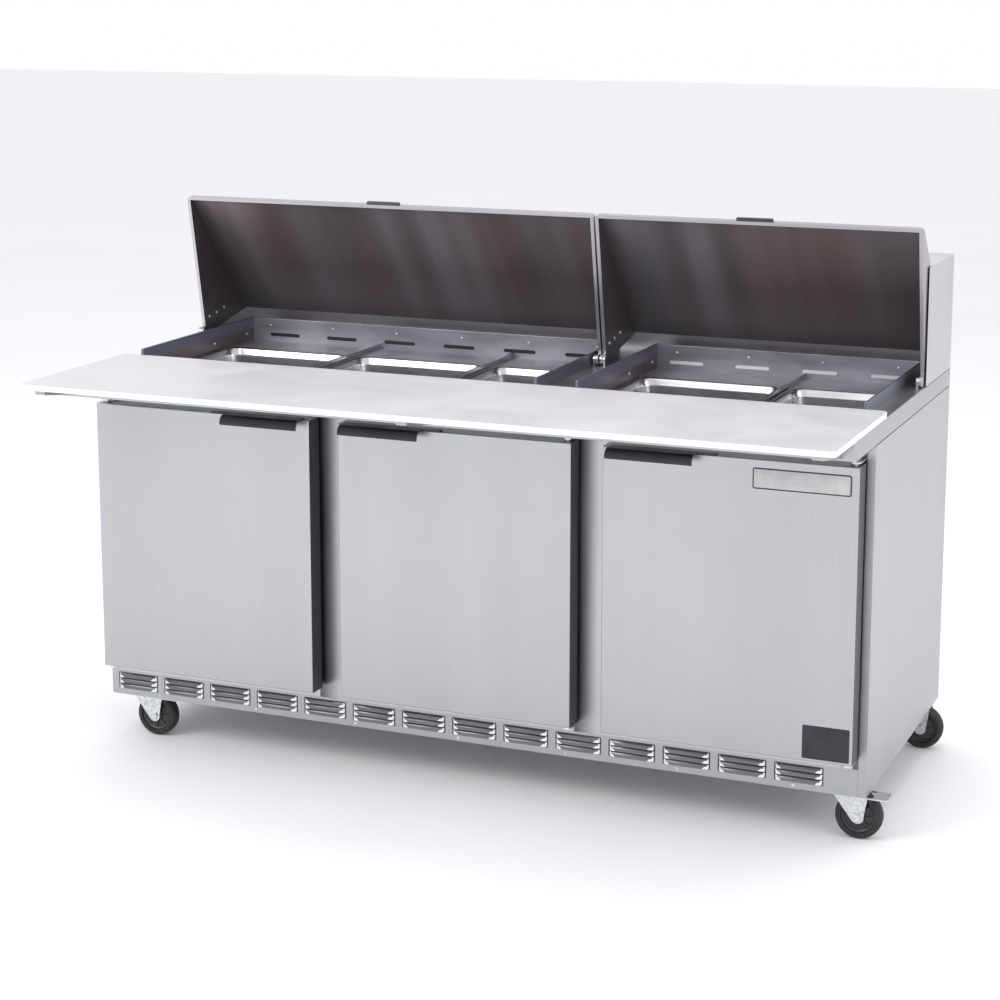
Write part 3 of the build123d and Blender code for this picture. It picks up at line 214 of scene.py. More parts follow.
def grille_steel():
    """The kick panel: duller sheet whose louvre hoods get a painted highlight on their upper slopes and painted
    shade on their undersides.
    """
    look = brushed("grille_steel", (0.40, 0.405, 0.42), (0.45, 0.455, 0.47), grain="X", bump=0.08)
    # Painted shade on faces that look down, painted highlight on faces that slope up.
    under = look.math("LESS_THAN", look.axis("Z", "Normal"), -0.3)
    slope = look.math("GREATER_THAN", look.axis("Z", "Normal"), 0.3)
    sheet = look.shader.inputs["Base Color"].links[0].from_socket
    shaded = look.mix(under, sheet, (0.050, 0.051, 0.055))
    look.colour(look.mix(slope, shaded, (0.62, 0.63, 0.65)))
    return look.material


def hood_steel():
    """Louvre hoods: dull on their long faces, painted much darker than the sheet as painted shade, with a painted
    highlight where the ends turn into the sheet and painted shade on their undersides.
    """
    look = brushed("louvre_hood_steel", (0.150, 0.153, 0.165), (0.215, 0.218, 0.232), grain="X", bump=0.08)
    # Painted highlight on the hood ends, painted shade on the undersides.
    ends = look.math("GREATER_THAN", look.math("ABSOLUTE", look.axis("X", "Normal")), 0.25)
    under = look.math("LESS_THAN", look.axis("Z", "Normal"), -0.5)
    found = look.shader.inputs["Base Color"].links[0].from_socket
    shaded = look.mix(under, found, (0.025, 0.025, 0.028))
    look.colour(look.mix(ends, shaded, (0.86, 0.87, 0.88)))
    return look.material


def housing_steel():
    # Painted light: a brighter base than the sides' steel, for the lit top of the cabinet.
    return brushed("housing_steel", (0.62, 0.62, 0.635), (0.67, 0.67, 0.685), grain="Z", bump=0.08).material


def stile_steel():
    """The face frame: beside each door's dark edge the stile carries a painted shadow and painted reflection of that
    edge.
    """
    look = brushed("stile_steel", (0.50, 0.505, 0.522), (0.54, 0.545, 0.562), grain="Z", bump=0.08)
    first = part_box("left_door")
    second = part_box("middle_door")
    pitch = second[0].x - first[0].x
    width = first[1].x - first[0].x
    # Painted shadow and reflection: from near-black at the door's edge back to the steel a few centimetres on.
    shadow_start, shadow_end, darkest = -0.006, 0.042, 0.16
    along = look.math("MODULO", look.math("SUBTRACT", look.axis("X"), first[0].x), pitch)
    beside = look.span(along, darkest, 1.0, width + shadow_start, width + shadow_end)
    found = look.shader.inputs["Base Color"].links[0].from_socket
    is_beside = look.math("GREATER_THAN", along, width - DOOR_EDGE)
    dark = look.mix(beside, (0.055, 0.057, 0.066), found)
    look.colour(look.mix(is_beside, found, dark))
    return look.material


def door_steel():
    """Brushed front painted lighter towards the top, and dark plastic edges: the edge tint follows the face's own
    direction and is partly painted shade, as dark as the gap beside the door.
    """
    look = brushed("door_steel", (0.462, 0.467, 0.487), (0.505, 0.510, 0.530), grain="Z", bump=0.06)
    low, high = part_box("middle_door")
    # Painted light: lighter towards the top of the door, darker towards the bottom.
    fade(look, low.z, high.z, 0.93, 1.05)
    # Painted shade in part: faces that look sideways get a near-black plastic tint.
    facing_side = 0.85
    across = look.math("ABSOLUTE", look.axis("X", "Normal"))
    edge = look.math("GREATER_THAN", across, facing_side)
    steel_colour = look.shader.inputs["Base Color"].links[0].from_socket
    speck = look.noise(look.space(), 600, 2.0)
    plastic = look.ramp(speck, [(0.3, (0.030, 0.032, 0.038)), (0.7, (0.045, 0.047, 0.055))])
    look.colour(look.mix(edge, steel_colour, plastic))
    look.metallic(look.span(edge, 1.0, 0.2))
    return look.material


def lid_inside():
    """The shaded mirror of a lid's inside, painted as reflection and shade: dark brown-grey with long soft upright
    painted reflections, a warm painted reflection, a pale painted glow low down and painted shade on the side walls.
    """
    look = Look("lid_inside_steel", metallic=0.45)
    fine = look.noise(look.space((1000, 1000, 5)), 1.0, 4.0, 0.65)
    broad = look.noise(look.space((9.0, 0.2, 0.5)), 1.0, 1.5, 0.5, 0.1)
    warm = look.noise(look.space((7.0, 0.3, 1.2)), 1.0, 1.5, 0.5, 0.2)
    # Painted reflections: long upright bands of lighter and darker tone.
    tone = look.ramp(broad, [
        (0.34, (0.085, 0.070, 0.072)),
        (0.46, (0.125, 0.104, 0.112)),
        (0.56, (0.165, 0.145, 0.160)),
        (0.68, (0.235, 0.222, 0.250)),
    ])
    # A warm painted reflection, mixed into the bands.
    warm_reflection = look.ramp(warm, [(0.42, (0.150, 0.128, 0.132)), (0.60, (0.190, 0.118, 0.108))])
    # Painted light: a paler glow low on the lid's inside.
    glow_start, glow_height = 0.02, 0.16
    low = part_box("left_lid")[0].z + glow_start
    rise = look.span(look.axis("Z"), 1.0, 0.0, low, low + glow_height)
    shade = look.mix(0.42, tone, warm_reflection)
    shade = look.mix(look.math("MULTIPLY", rise, 0.5), shade, (0.270, 0.250, 0.262))
    grain = look.ramp(fine, [(0.35, (0.90, 0.90, 0.90)), (0.65, (1.08, 1.08, 1.08))])
    # Painted shade on the side walls, the faces that look along X.
    across = look.math("GREATER_THAN", look.math("ABSOLUTE", look.axis("X", "Normal")), 0.8)
    shade = look.mix(look.math("MULTIPLY", across, 0.6), shade, (0.055, 0.046, 0.047))
    look.colour(look.mix(1.0, shade, grain, "MULTIPLY"))
    look.roughness(look.span(fine, 0.30, 0.42, 0.3, 0.7))
    look.bump(fine, 0.08, 0.0002)
    return look.material


def well_steel(side):
    """Well sheet: blue-grey on the raised collar, a paler steel on the back wall and on up-facing faces as painted
    light, and painted shade, darker and warmer, elsewhere in the well.
    """
    look = brushed(side + "_well_steel", (0.170, 0.178, 0.235), (0.225, 0.233, 0.295), grain="X", rough=(0.28, 0.42))
    collar = look.shader.inputs["Base Color"].links[0].from_socket
    broad = look.noise(look.space((5, 5, 14)), 1.0, 2.0, 0.5, 0.4)
    # Painted shade down in the well, painted light on the back wall and on up-facing faces.
    deep = look.ramp(broad, [(0.35, (0.115, 0.092, 0.090)), (0.65, (0.215, 0.180, 0.185))])
    rear = look.ramp(broad, [(0.35, (0.300, 0.285, 0.330)), (0.65, (0.460, 0.445, 0.490))])
    _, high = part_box(side + "_pan_well")
    inner_back = high.y - WELL_HEM
    at_back = look.span(look.axis("Y"), 0.0, 1.0, inner_back - 0.002, inner_back - 0.001)
    facing = look.math("LESS_THAN", look.axis("Y", "Normal"), -0.8)
    up = look.math("GREATER_THAN", look.axis("Z", "Normal"), 0.5)
    walls = look.mix(look.math("MAXIMUM", look.math("MULTIPLY", at_back, facing), up), deep, rear)
    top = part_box("countertop")[1].z
    height = look.span(look.axis("Z"), 0.0, 1.0, top - 0.003, top + 0.001)
    outward = look.math("MAXIMUM", up, look.math("SUBTRACT", 1.0, look.math("MULTIPLY", at_back, facing)))
    look.colour(look.mix(look.math("MULTIPLY", height, outward), walls, collar))
    look.metallic(look.span(height, 0.55, 0.7))
    return look.material


def pan_steel():
    return brushed("pan_steel", (0.50, 0.50, 0.515), (0.72, 0.72, 0.73), rough=(0.16, 0.30), grain="Y",
                   bump=0.06).material


def board_plastic():
    """White cutting board: pebbled face with fine knife marks and faint clouding."""
    look = Look("board_plastic", rough=0.5)
    cloud = look.noise(look.space(), 5.0, 4.0, 0.6, 0.5)
    pebble = look.noise(look.space(), 900.0, 2.0, 0.5)
    cuts_a = look.noise(look.space((6, 260, 20), (0, 0, 0.5)), 1.0, 3.0, 0.7)
    cuts_b = look.noise(look.space((7, 300, 20), (0, 0, -0.35)), 1.0, 3.0, 0.7)
    cut = look.math("MAXIMUM", look.span(cuts_a, 0, 1, 0.66, 0.70), look.span(cuts_b, 0, 1, 0.67, 0.71))
    base = look.ramp(cloud, [(0.3, (0.515, 0.507, 0.524)), (0.7, (0.560, 0.552, 0.570))])
    # Painted light: the faces that do not look up, the board's edges, get a brighter white than its top.
    face = look.math("GREATER_THAN", look.axis("Z", "Normal"), 0.6)
    base = look.mix(face, (0.82, 0.82, 0.83), base)
    look.colour(look.mix(look.math("MULTIPLY", cut, 0.2), base, (0.45, 0.44, 0.45)))
    look.roughness(look.span(cloud, 0.38, 0.55, 0.3, 0.7))
    height = look.math("SUBTRACT", look.math("MULTIPLY", pebble, 0.5), look.math("MULTIPLY", cut, 0.8))
    look.bump(height, 0.25, 0.0003)
    look.shader.inputs["Specular IOR Level"].default_value = 0.4
    look.shader.inputs["Subsurface Weight"].default_value = 0.05
    return look.material


def moulded(name, dark, light, rough=(0.32, 0.46), pebble=1400.0, bump=0.25):
    """Moulded plastic or vinyl: fine pebble, slight tone drift, smoother rubbed patches."""
    look = Look(name)
    fine = look.noise(look.space(), pebble, 2.0, 0.5)
    drift = look.noise(look.space(), 14.0, 3.0, 0.55, 0.3)
    look.colour(look.ramp(drift, [(0.3, dark), (0.7, light)]))
    look.roughness(look.span(drift, rough[0], rough[1], 0.3, 0.7))
    look.bump(fine, bump, 0.0002)
    look.shader.inputs["Specular IOR Level"].default_value = 0.5
    return look.material


def spangled(name, dark, light, scale=90.0, rough=(0.28, 0.48), stain=None):
    """Plated or galvanised steel: crystal spangle, cloudy drift and a little staining."""
    look = Look(name, metallic=1.0)
    cells = look.voronoi(look.space(), scale, "Color")
    grey = look.nodes.new("ShaderNodeRGBToBW")
    look.links.new(cells, grey.inputs["Color"])
    cloud = look.noise(look.space(), 12.0, 4.0, 0.6, 0.4)
    both = look.math("ADD", look.math("MULTIPLY", grey.outputs["Val"], 0.55), look.math("MULTIPLY", cloud, 0.45))
    base = look.ramp(both, [(0.25, dark), (0.75, light)])
    if stain:
        spot = look.noise(look.space(), 55.0, 4.0, 0.65)
        base = look.mix(look.span(spot, 0.0, 0.45, 0.60, 0.72), base, stain)
    look.colour(base)
    look.roughness(look.span(both, rough[1], rough[0], 0.2, 0.8))
    look.bump(look.noise(look.space(), 700.0, 2.0), 0.12, 0.0002)
    return look.material


def liner_metal():
    """Stucco-embossed aluminium liner."""
    look = Look("liner_metal", metallic=0.85)
    dimple = look.voronoi(look.space(), 210.0, "Distance", "SMOOTH_F1")
    cloud = look.noise(look.space(), 6.0, 3.0, 0.5, 0.3)
    look.colour(look.ramp(cloud, [(0.3, (0.60, 0.61, 0.63)), (0.7, (0.72, 0.73, 0.745))]))
    look.roughness(look.span(cloud, 0.34, 0.5, 0.3, 0.7))
    look.bump(dimple, 0.5, 0.0008)
    return look.material


def foam():
    """Blown insulation: open pores and a warm uneven skin."""
    look = Look("foam", rough=0.95)
    pores = look.voronoi(look.space(), 420.0)
    drift = look.noise(look.space(), 9.0, 4.0, 0.6)
    skin = look.ramp(drift, [(0.3, (0.60, 0.47, 0.24)), (0.7, (0.76, 0.63, 0.36))])
    dark = look.ramp(pores, [(0.05, (0.55, 0.55, 0.55)), (0.4, (1, 1, 1))])
    look.colour(look.mix(1.0, skin, dark, "MULTIPLY"))
    look.roughness(look.span(drift, 0.85, 1.0, 0.3, 0.7))
    look.bump(pores, 0.6, 0.001)
    return look.material


def rubber():
    """Grey caster tread with scuffed patches."""
    look = Look("wheel_rubber", rough=0.6)
    scuff = look.noise(look.space(), 60.0, 5.0, 0.65, 0.4)
    fine = look.noise(look.space(), 1500.0, 2.0)
    look.colour(look.ramp(scuff, [(0.35, (0.010, 0.010, 0.012)), (0.65, (0.026, 0.026, 0.030))]))
    look.roughness(look.span(scuff, 0.5, 0.72, 0.3, 0.7))
    look.bump(fine, 0.3, 0.0003)
    return look.material


def finned(name, axis, pitch=0.0022):
    """Aluminium fins: a close stripe across the block between the modelled fins."""
    look = Look(name, metallic=0.9)
    place = look.axis(axis)
    wave = look.math("SINE", look.math("MULTIPLY", place, 2 * math.pi / pitch))
    dust = look.noise(look.space(), 30.0, 4.0, 0.6)
    stripe = look.ramp(look.span(wave, 0, 1, -1, 1), [(0.2, (0.22, 0.23, 0.24)), (0.8, (0.66, 0.67, 0.69))])
    look.colour(look.mix(look.span(dust, 0.0, 0.5, 0.5, 0.75), stripe, (0.33, 0.31, 0.28)))
    look.roughness(look.span(dust, 0.32, 0.6, 0.3, 0.7))
    look.bump(look.span(wave, 0, 1, -1, 1), 0.4, 0.0005)
    return look.material


def copper():
    """Refrigerant pipe: warm brushed copper with darker tarnish."""
    look = Look("copper_pipe", metallic=1.0)
    tarnish = look.noise(look.space(), 45.0, 4.0, 0.6, 0.5)
    look.colour(look.ramp(tarnish, [(0.35, (0.32, 0.13, 0.07)), (0.6, (0.78, 0.40, 0.26))]))
    look.roughness(look.span(tarnish, 0.45, 0.22, 0.3, 0.7))
    look.bump(look.noise(look.space(), 400.0, 2.0), 0.08, 0.0003)
    return look.material


def filter_mesh():
    """Dark woven air filter behind the kick panel."""
    look = Look("filter_mesh", rough=0.75)
    threads = 2400.0
    wave_x = look.math("SINE", look.math("MULTIPLY", look.axis("X"), threads))
    wave_z = look.math("SINE", look.math("MULTIPLY", look.axis("Z"), threads))
    weave = look.span(look.math("MAXIMUM", wave_x, wave_z), 0.0, 1.0, -0.2, 1.0)
    dust = look.noise(look.space(), 26.0, 3.0, 0.6)
    thread = look.ramp(dust, [(0.3, (0.060, 0.061, 0.066)), (0.7, (0.105, 0.106, 0.112))])
    look.colour(look.mix(weave, (0.014, 0.014, 0.016), thread))
    look.roughness(look.span(dust, 0.65, 0.85, 0.3, 0.7))
    look.bump(weave, 0.3, 0.0003)
    return look.material


def shade(name, dark, light, rough=0.6):
    """A quiet matt surface for shadow gaps and recesses, still with drift and fine tooth."""
    look = Look(name, rough=rough)
    drift = look.noise(look.space(), 35.0, 3.0, 0.5)
    look.colour(look.ramp(drift, [(0.3, dark), (0.7, light)]))
    look.roughness(look.span(drift, rough - 0.1, rough + 0.1, 0.3, 0.7))
    look.bump(look.noise(look.space(), 800.0, 2.0), 0.15, 0.0002)
    return look.material


MATERIAL = {
    "steel_up": steel("brushed_steel_up", "Z"),
    "steel_across": steel("brushed_steel_across", "X"),
    "steel_deep": steel("brushed_steel_deep", "Y"),
    "door": door_steel(),
    "lid_inside": lid_inside(),
    "left_well": well_steel("left"),
    "right_well": well_steel("right"),
    "grille": grille_steel(),
    "hood": hood_steel(),
    # Painted shadow: the dark plates behind the louvre hoods stand for the shade in the slots.
    "recess": shade("louvre_painted_shadow", (0.045, 0.046, 0.050), (0.070, 0.071, 0.076)),
    "side": side_steel(),
    "housing": housing_steel(),
    "stile": stile_steel(),
    "pan": pan_steel(),
    "board": board_plastic(),
    "handle": moulded("handle_plastic", (0.016, 0.018, 0.022), (0.030, 0.032, 0.037), rough=(0.26, 0.38)),
    "gasket": moulded("gasket_vinyl", (0.045, 0.046, 0.050), (0.075, 0.076, 0.080), rough=(0.5, 0.65)),
    "fan": moulded("fan_plastic", (0.022, 0.022, 0.024), (0.040, 0.040, 0.043)),
    "knob": moulded("knob_plastic", (0.030, 0.031, 0.034), (0.055, 0.056, 0.060)),
    "wire": moulded("shelf_coating", (0.60, 0.61, 0.62), (0.74, 0.75, 0.76), rough=(0.28, 0.4), pebble=700.0),
    "compressor": moulded("compressor_paint", (0.010, 0.010, 0.011), (0.026, 0.026, 0.028), rough=(0.22, 0.4),
                          pebble=350.0),
    "zinc": spangled("zinc_plate", (0.50, 0.51, 0.53), (0.80, 0.81, 0.83), scale=260.0, rough=(0.2, 0.38)),
    "galvanised": spangled("galvanised_sheet", (0.43, 0.44, 0.455), (0.54, 0.55, 0.565), scale=190.0,
                           rough=(0.36, 0.5), stain=(0.40, 0.395, 0.385)),
    "filter": filter_mesh(),
    "liner": liner_metal(),
    "foam": foam(),
    "rubber": rubber(),
    "fins_x": finned("evaporator_fins", "X"),
    "fins_y": finned("condenser_fins", "Y"),
    "copper": copper(),
    # Painted light: a pale lit surface seen through the right well's air slots; the left well shows painted shadow
    # there instead.
    "duct": shade("duct_painted_light", (0.80, 0.80, 0.82), (0.90, 0.90, 0.92), rough=0.45),
    "gap": shade("shadow_gap", (0.012, 0.012, 0.014), (0.022, 0.022, 0.025)),
    "plate_dark": shade("plate_dark", (0.012, 0.012, 0.020), (0.022, 0.022, 0.034), rough=0.35),
    "plate_light": shade("plate_light", (0.50, 0.50, 0.49), (0.60, 0.60, 0.585), rough=0.35),
    "plate_edge": shade("plate_edge", (0.035, 0.036, 0.040), (0.055, 0.056, 0.060), rough=0.35),
}

NODE_LOOKS = {
    "left_side_panel": "side", "right_side_panel": "side", "rear_panel": "galvanised",
    "front_frame": "stile", "countertop": "steel_across", "rear_housing": "housing",
    "grille": "grille", "base_deck": "galvanised", "base_rails": "galvanised", "insulation": "foam",
    "cabinet_liner": "liner", "board_supports": "steel_deep", "divider_bars": "pan", "lid_hinges": "zinc",
    "door_hinges": "zinc", "shelf_supports": "pan", "evaporator_shroud": "liner", "evaporator_coil": "fins_x",
    "condenser_coil": "fins_y", "condenser_shroud": "galvanised", "compressor": "compressor",
    "fan_motors": "galvanised", "caster_plates": "zinc", "cutting_board": "board",
    "evaporator_fan_blades": "fan", "condenser_fan_blades": "fan", "thermostat_knob": "knob",
}
for side in SIDES:
    NODE_LOOKS[side + "_lid"] = "steel_up"
    NODE_LOOKS[side + "_lid_handle"] = "handle"
    NODE_LOOKS[side + "_pan_well"] = side + "_well"
for name in PANS:
    NODE_LOOKS[name] = "pan"
for side in DOORS:
    NODE_LOOKS[side + "_door"] = "door"
    NODE_LOOKS[side + "_door_gasket"] = "gasket"
    NODE_LOOKS[side + "_door_handle"] = "handle"
    NODE_LOOKS[side + "_shelf"] = "wire"
for place in CASTERS:
    NODE_LOOKS[place + "_caster_fork"] = "zinc"
    NODE_LOOKS[place + "_wheel"] = "rubber"
for place in CASTERS[:2]:
    NODE_LOOKS[place + "_brake_pedal"] = "zinc"

for name, node in NODES.items():
    node.data.materials.clear()
    node.data.materials.append(MATERIAL[NODE_LOOKS[name]])


# ---------------------------------------------------------------- mesh helpers

def piece(name, bm, look, body, smooth=True, angle=35.0):
    """Turn a bmesh into a named piece that rides on a body."""
    bmesh.ops.recalc_face_normals(bm, faces=bm.faces)
    mesh = bpy.data.meshes.new(name)
    bm.to_mesh(mesh)
    bm.free()
    if smooth:
        mesh.shade_smooth()
        mesh.set_sharp_from_angle(angle=math.radians(angle))
    mesh.materials.append(MATERIAL[look])
    made = bpy.data.objects.new(name, mesh)
    bpy.context.scene.collection.objects.link(made)
    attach(made, body)
    return made


def axes_for(axis):
    """Two directions square to axis."""
    axis = Vector(axis).normalized()
    helper = Z_AXIS if abs(axis.z) < 0.9 else X_AXIS
    first = helper.cross(axis).normalized()
    return first, axis.cross(first).normalized(), axis


def skin(bm, rings, closed=True, caps=(True, True)):
    """Faces between rings of points, each ring closed round, with end caps."""
    made = [[bm.verts.new(point) for point in ring] for ring in rings]
    count = len(made[0])
    for lower, upper in zip(made, made[1:]):
        for i in range(count if closed else count - 1):
            j = (i + 1) % count
            bm.faces.new((lower[i], lower[j], upper[j], upper[i]))
    if caps[0]:
        bm.faces.new(list(reversed(made[0])))
    if caps[1]:
        bm.faces.new(made[-1])
    return made


def lathe(bm, origin, axis, profile, segments=32, caps=(True, True)):
    """Turn a profile of (radius, height) about an axis."""
    first, second, along = axes_for(axis)
    rings = []
    for radius, height in profile:
        ring = []
        for i in range(segments):
            turn = 2 * math.pi * i / segments
            out = first * math.cos(turn) + second * math.sin(turn)
            ring.append(Vector(origin) + along * height + out * max(radius, 1e-5))
        rings.append(ring)
    skin(bm, rings, caps=caps)


def rounded_outline(half_u, half_v, corner, steps=5):
    """Points round a rectangle with arcs at its corners."""
    points = []
    for quarter, (su, sv) in enumerate(((1, 1), (-1, 1), (-1, -1), (1, -1))):
        for i in range(steps + 1):
            turn = math.pi / 2 * (quarter + i / steps)
            points.append((su * (half_u - corner) + corner * math.cos(turn),
                           sv * (half_v - corner) + corner * math.sin(turn)))
    return points


def plate(bm, centre, u, v, half_u, half_v, thick, corner, edge=0.0004):
    """A thin rounded plate that stands off its centre along u x v, with a softened rim."""
    out = u.cross(v).normalized()
    rings = []
    for inset, height in ((0.0, 0.0), (0.0, thick - edge), (edge * 0.3, thick - edge * 0.3), (edge, thick)):
        outline = rounded_outline(half_u - inset, half_v - inset, max(corner - inset, edge))
        rings.append([centre + u * a + v * b + out * height for a, b in outline])
    skin(bm, rings)


def frame_plate(bm, centre, u, v, half_u, half_v, thick, corner, band):
    """A rounded picture-frame border."""
    out = u.cross(v).normalized()
    outer = rounded_outline(half_u, half_v, corner)
    inner = rounded_outline(half_u - band, half_v - band, max(corner - band, band / 2))
    rings = []
    for outline, height in ((outer, 0.0), (outer, thick * 0.7), (None, thick), (inner, thick * 0.7), (inner, 0.0)):
        if outline is None:
            outline = rounded_outline(half_u - band / 2, half_v - band / 2, max(corner - band / 2, band / 2))
        rings.append([centre + u * a + v * b + out * height for a, b in outline])
    skin(bm, rings, caps=(False, False))


def screw(bm, origin, axis, radius=0.004, height=0.0022):
    """A pan-head screw with a socket."""
    lathe(bm, origin, axis, [
        (radius, 0.0), (radius, height * 0.35), (radius * 0.86, height * 0.75), (radius * 0.6, height * 0.95),
        (radius * 0.42, height), (radius * 0.36, height * 0.5), (0.0, height * 0.45),
    ], 20)


def hex_bolt(bm, origin, axis, radius=0.0065, height=0.005):
    """A hexagon head on a round washer."""
    lathe(bm, origin, axis, [(radius * 1.35, 0), (radius * 1.35, height * 0.18), (radius * 1.25, height * 0.25)], 28)
    lathe(bm, origin, axis, [
        (radius, height * 0.2), (radius, height * 0.86), (radius * 0.88, height), (0.0, height),
    ], 6)


def tube(bm, points, radius, segments=10, closed=False):
    """A round rod along points, mitred at each corner."""
    points = [Vector(p) for p in points]
    count = len(points)
    rings = []
    for i, point in enumerate(points):
        before = points[i - 1] if (i or closed) else point
        after = points[(i + 1) % count] if (i < count - 1 or closed) else point
        along = (after - before).normalized()
        first, second, _ = axes_for(along)
        rings.append([point + (first * math.cos(t) + second * math.sin(t)) * radius
                      for t in (2 * math.pi * k / segments for k in range(segments))])
    if closed:
        rings.append(rings[0])
        skin(bm, rings, caps=(False, False))
        bmesh.ops.remove_doubles(bm, verts=bm.verts, dist=1e-6)
    else:
        skin(bm, rings)


def soften(name, width=0.0005, segments=2, angle=40.0):
    """Rolled edges on a CAD node, so that its corners catch the light."""
    node = NODES[name]
    weld = node.modifiers.new("weld", "WELD")
    weld.merge_threshold = 0.00002
    bevel = node.modifiers.new("bevel", "BEVEL")
    bevel.width = width
    bevel.segments = segments
    bevel.limit_method = "ANGLE"
    bevel.angle_limit = math.radians(angle)
    bevel.harden_normals = True
    bevel.use_clamp_overlap = True


# ---------------------------------------------------------------- lids

def lid_painted_light(side):
    """The dark inner skin of a lid, lifted just off the faces that look into its hollow; it carries the painted
    reflections and painted shade of the lid's inside.
    """
    node = NODES[side + "_lid"]
    low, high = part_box(side + "_lid")
    hollow_y, hollow_z = 0.13, 0.12
    ear_radius = 0.0105
    pivot_clear = 0.022
    small_face = 2e-4
    inside = Vector(((low.x + high.x) / 2, low.y + hollow_y, low.z + hollow_z))
    hinge_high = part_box("lid_hinges")[1]
    pivot = Vector((0, hinge_high.y - ear_radius, hinge_high.z - ear_radius))
    bm = bmesh.new()
    bm.from_mesh(node.data)
    bmesh.ops.remove_doubles(bm, verts=bm.verts, dist=2e-5)
    outer = []
    for face in bm.faces:
        centre = face.calc_center_median()
        faces_in = face.normal.dot(inside - centre) > 0
        at_pivot = (Vector((0, centre.y, centre.z)) - pivot).length < pivot_clear
        if not faces_in or (at_pivot and face.calc_area() < small_face):
            outer.append(face)
    bmesh.ops.delete(bm, geom=outer, context="FACES")
    bm.normal_update()
    for vert in bm.verts:
        vert.co += vert.normal * SURFACE_LIFT
    return piece(side + "_lid_painted_light", bm, "lid_inside", side + "_lid", angle=20.0)


def lid_bolts(side):
    """Rivets low on each lid's side walls."""
    low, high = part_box(side + "_lid")
    inset = LID_WALL + 0.0005
    radius, height = 0.0048, 0.003
    spots = ((0.082, 0.046), (0.118, 0.052), (0.156, 0.060))
    bm = bmesh.new()
    for x, way in ((low.x + inset, 1), (high.x - inset, -1)):
        for reach, rise in spots:
            screw(bm, Vector((x, low.y + reach, low.z + rise)), X_AXIS * way, radius, height)
    return piece(side + "_lid_rivets", bm, "zinc", side + "_lid")


# ---------------------------------------------------------------- fronts

def badge():
    """A blank name plate: pale face in a dark border."""
    low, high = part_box("right_door")
    half_u, half_v = 0.103, 0.0215
    inset_x, inset_z = 0.0165, 0.018
    centre = Vector((high.x - inset_x - half_u, low.y, high.z - inset_z - half_v))
    bm = bmesh.new()
    plate(bm, centre, X_AXIS, Z_AXIS, half_u, half_v, 0.0012, 0.004)
    piece("badge_plate", bm, "plate_light", "right_door")
    bm = bmesh.new()
    frame_plate(bm, centre, X_AXIS, Z_AXIS, half_u + 0.0005, half_v + 0.0005, 0.0021, 0.0045, 0.0026)
    piece("badge_border", bm, "plate_edge", "right_door")


def corner_plate():
    """A blank dark plate in the lower corner of the right door."""
    low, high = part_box("right_door")
    half_u, half_v = 0.050, 0.036
    inset = 0.006
    centre = Vector((high.x - inset - half_u, low.y, low.z + inset + half_v))
    bm = bmesh.new()
    plate(bm, centre, X_AXIS, Z_AXIS, half_u, half_v, 0.0008, 0.003)
    piece("corner_plate", bm, "plate_dark", "right_door")


def air_filter():
    """The woven filter sheet behind the kick panel's louvres."""
    low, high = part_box("grille")
    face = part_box("front_frame")[0].y
    behind, side_margin, edge_margin = 0.0042, 0.03, 0.002
    centre = Vector(((low.x + high.x) / 2, face + behind, (low.z + high.z) / 2))
    bm = bmesh.new()
    plate(bm, centre, X_AXIS, Z_AXIS, (high.x - low.x) / 2 - side_margin, (high.z - low.z) / 2 - edge_margin,
          0.0014, 0.002)
    piece("air_filter", bm, "filter", "cabinet")


def louvres():
    """Long pressed hoods over the kick panel's slots, on dark plates painted as the shadow in the slots."""
    low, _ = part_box("grille")
    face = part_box("front_frame")[0].y
    groups, rows = 14, 3
    pitch_x, pitch_z = 0.124, 0.013
    side_margin, base_margin, centre_rise = 0.0538, 0.020, 0.0013
    first_x, first_z = low.x + side_margin, low.z + base_margin
    half, reach = 0.051, 0.0051
    recess_u, recess_v = 0.0535, 0.0202
    stations = ((-1.0, 0.04), (-0.965, 0.55), (-0.91, 1.0), (0.91, 1.0), (0.965, 0.55), (1.0, 0.04))
    profile = ((0.0, 0.0068), (0.50, 0.0050), (0.86, 0.0012), (1.0, -0.0036), (0.80, -0.0037), (0.0, -0.0034))
    hoods = bmesh.new()
    recess = bmesh.new()
    for i in range(groups):
        x = first_x + i * pitch_x
        middle = Vector((x, face, first_z + pitch_z * (rows - 1) / 2 + centre_rise))
        # Painted shadow: a dark plate behind each group of hoods.
        plate(recess, middle, X_AXIS, Z_AXIS, recess_u, recess_v, 0.0003, 0.003, 0.0001)
        for j in range(rows):
            z = first_z + j * pitch_z
            skin(hoods, [[Vector((x + place * half, face - reach * share * out, z + rise))
                          for out, rise in profile] for place, share in stations])
    piece("louvre_painted_shadows", recess, "recess", "cabinet")
    piece("louvre_hoods", hoods, "hood", "cabinet", angle=50.0)


def grille_screws():
    """Screws along the kick panel's lower edge."""
    low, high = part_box("grille")
    count = 7
    start, end = 0.113, 0.138
    step = (high.x - low.x - start - end) / (count - 1)
    bm = bmesh.new()
    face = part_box("front_frame")[0].y
    base_margin = 0.007
    for i in range(count):
        screw(bm, Vector((low.x + start + i * step, face + SHEET, low.z + base_margin)), -Y_AXIS, 0.0042, 0.003)
    return piece("grille_screws", bm, "zinc", "cabinet")


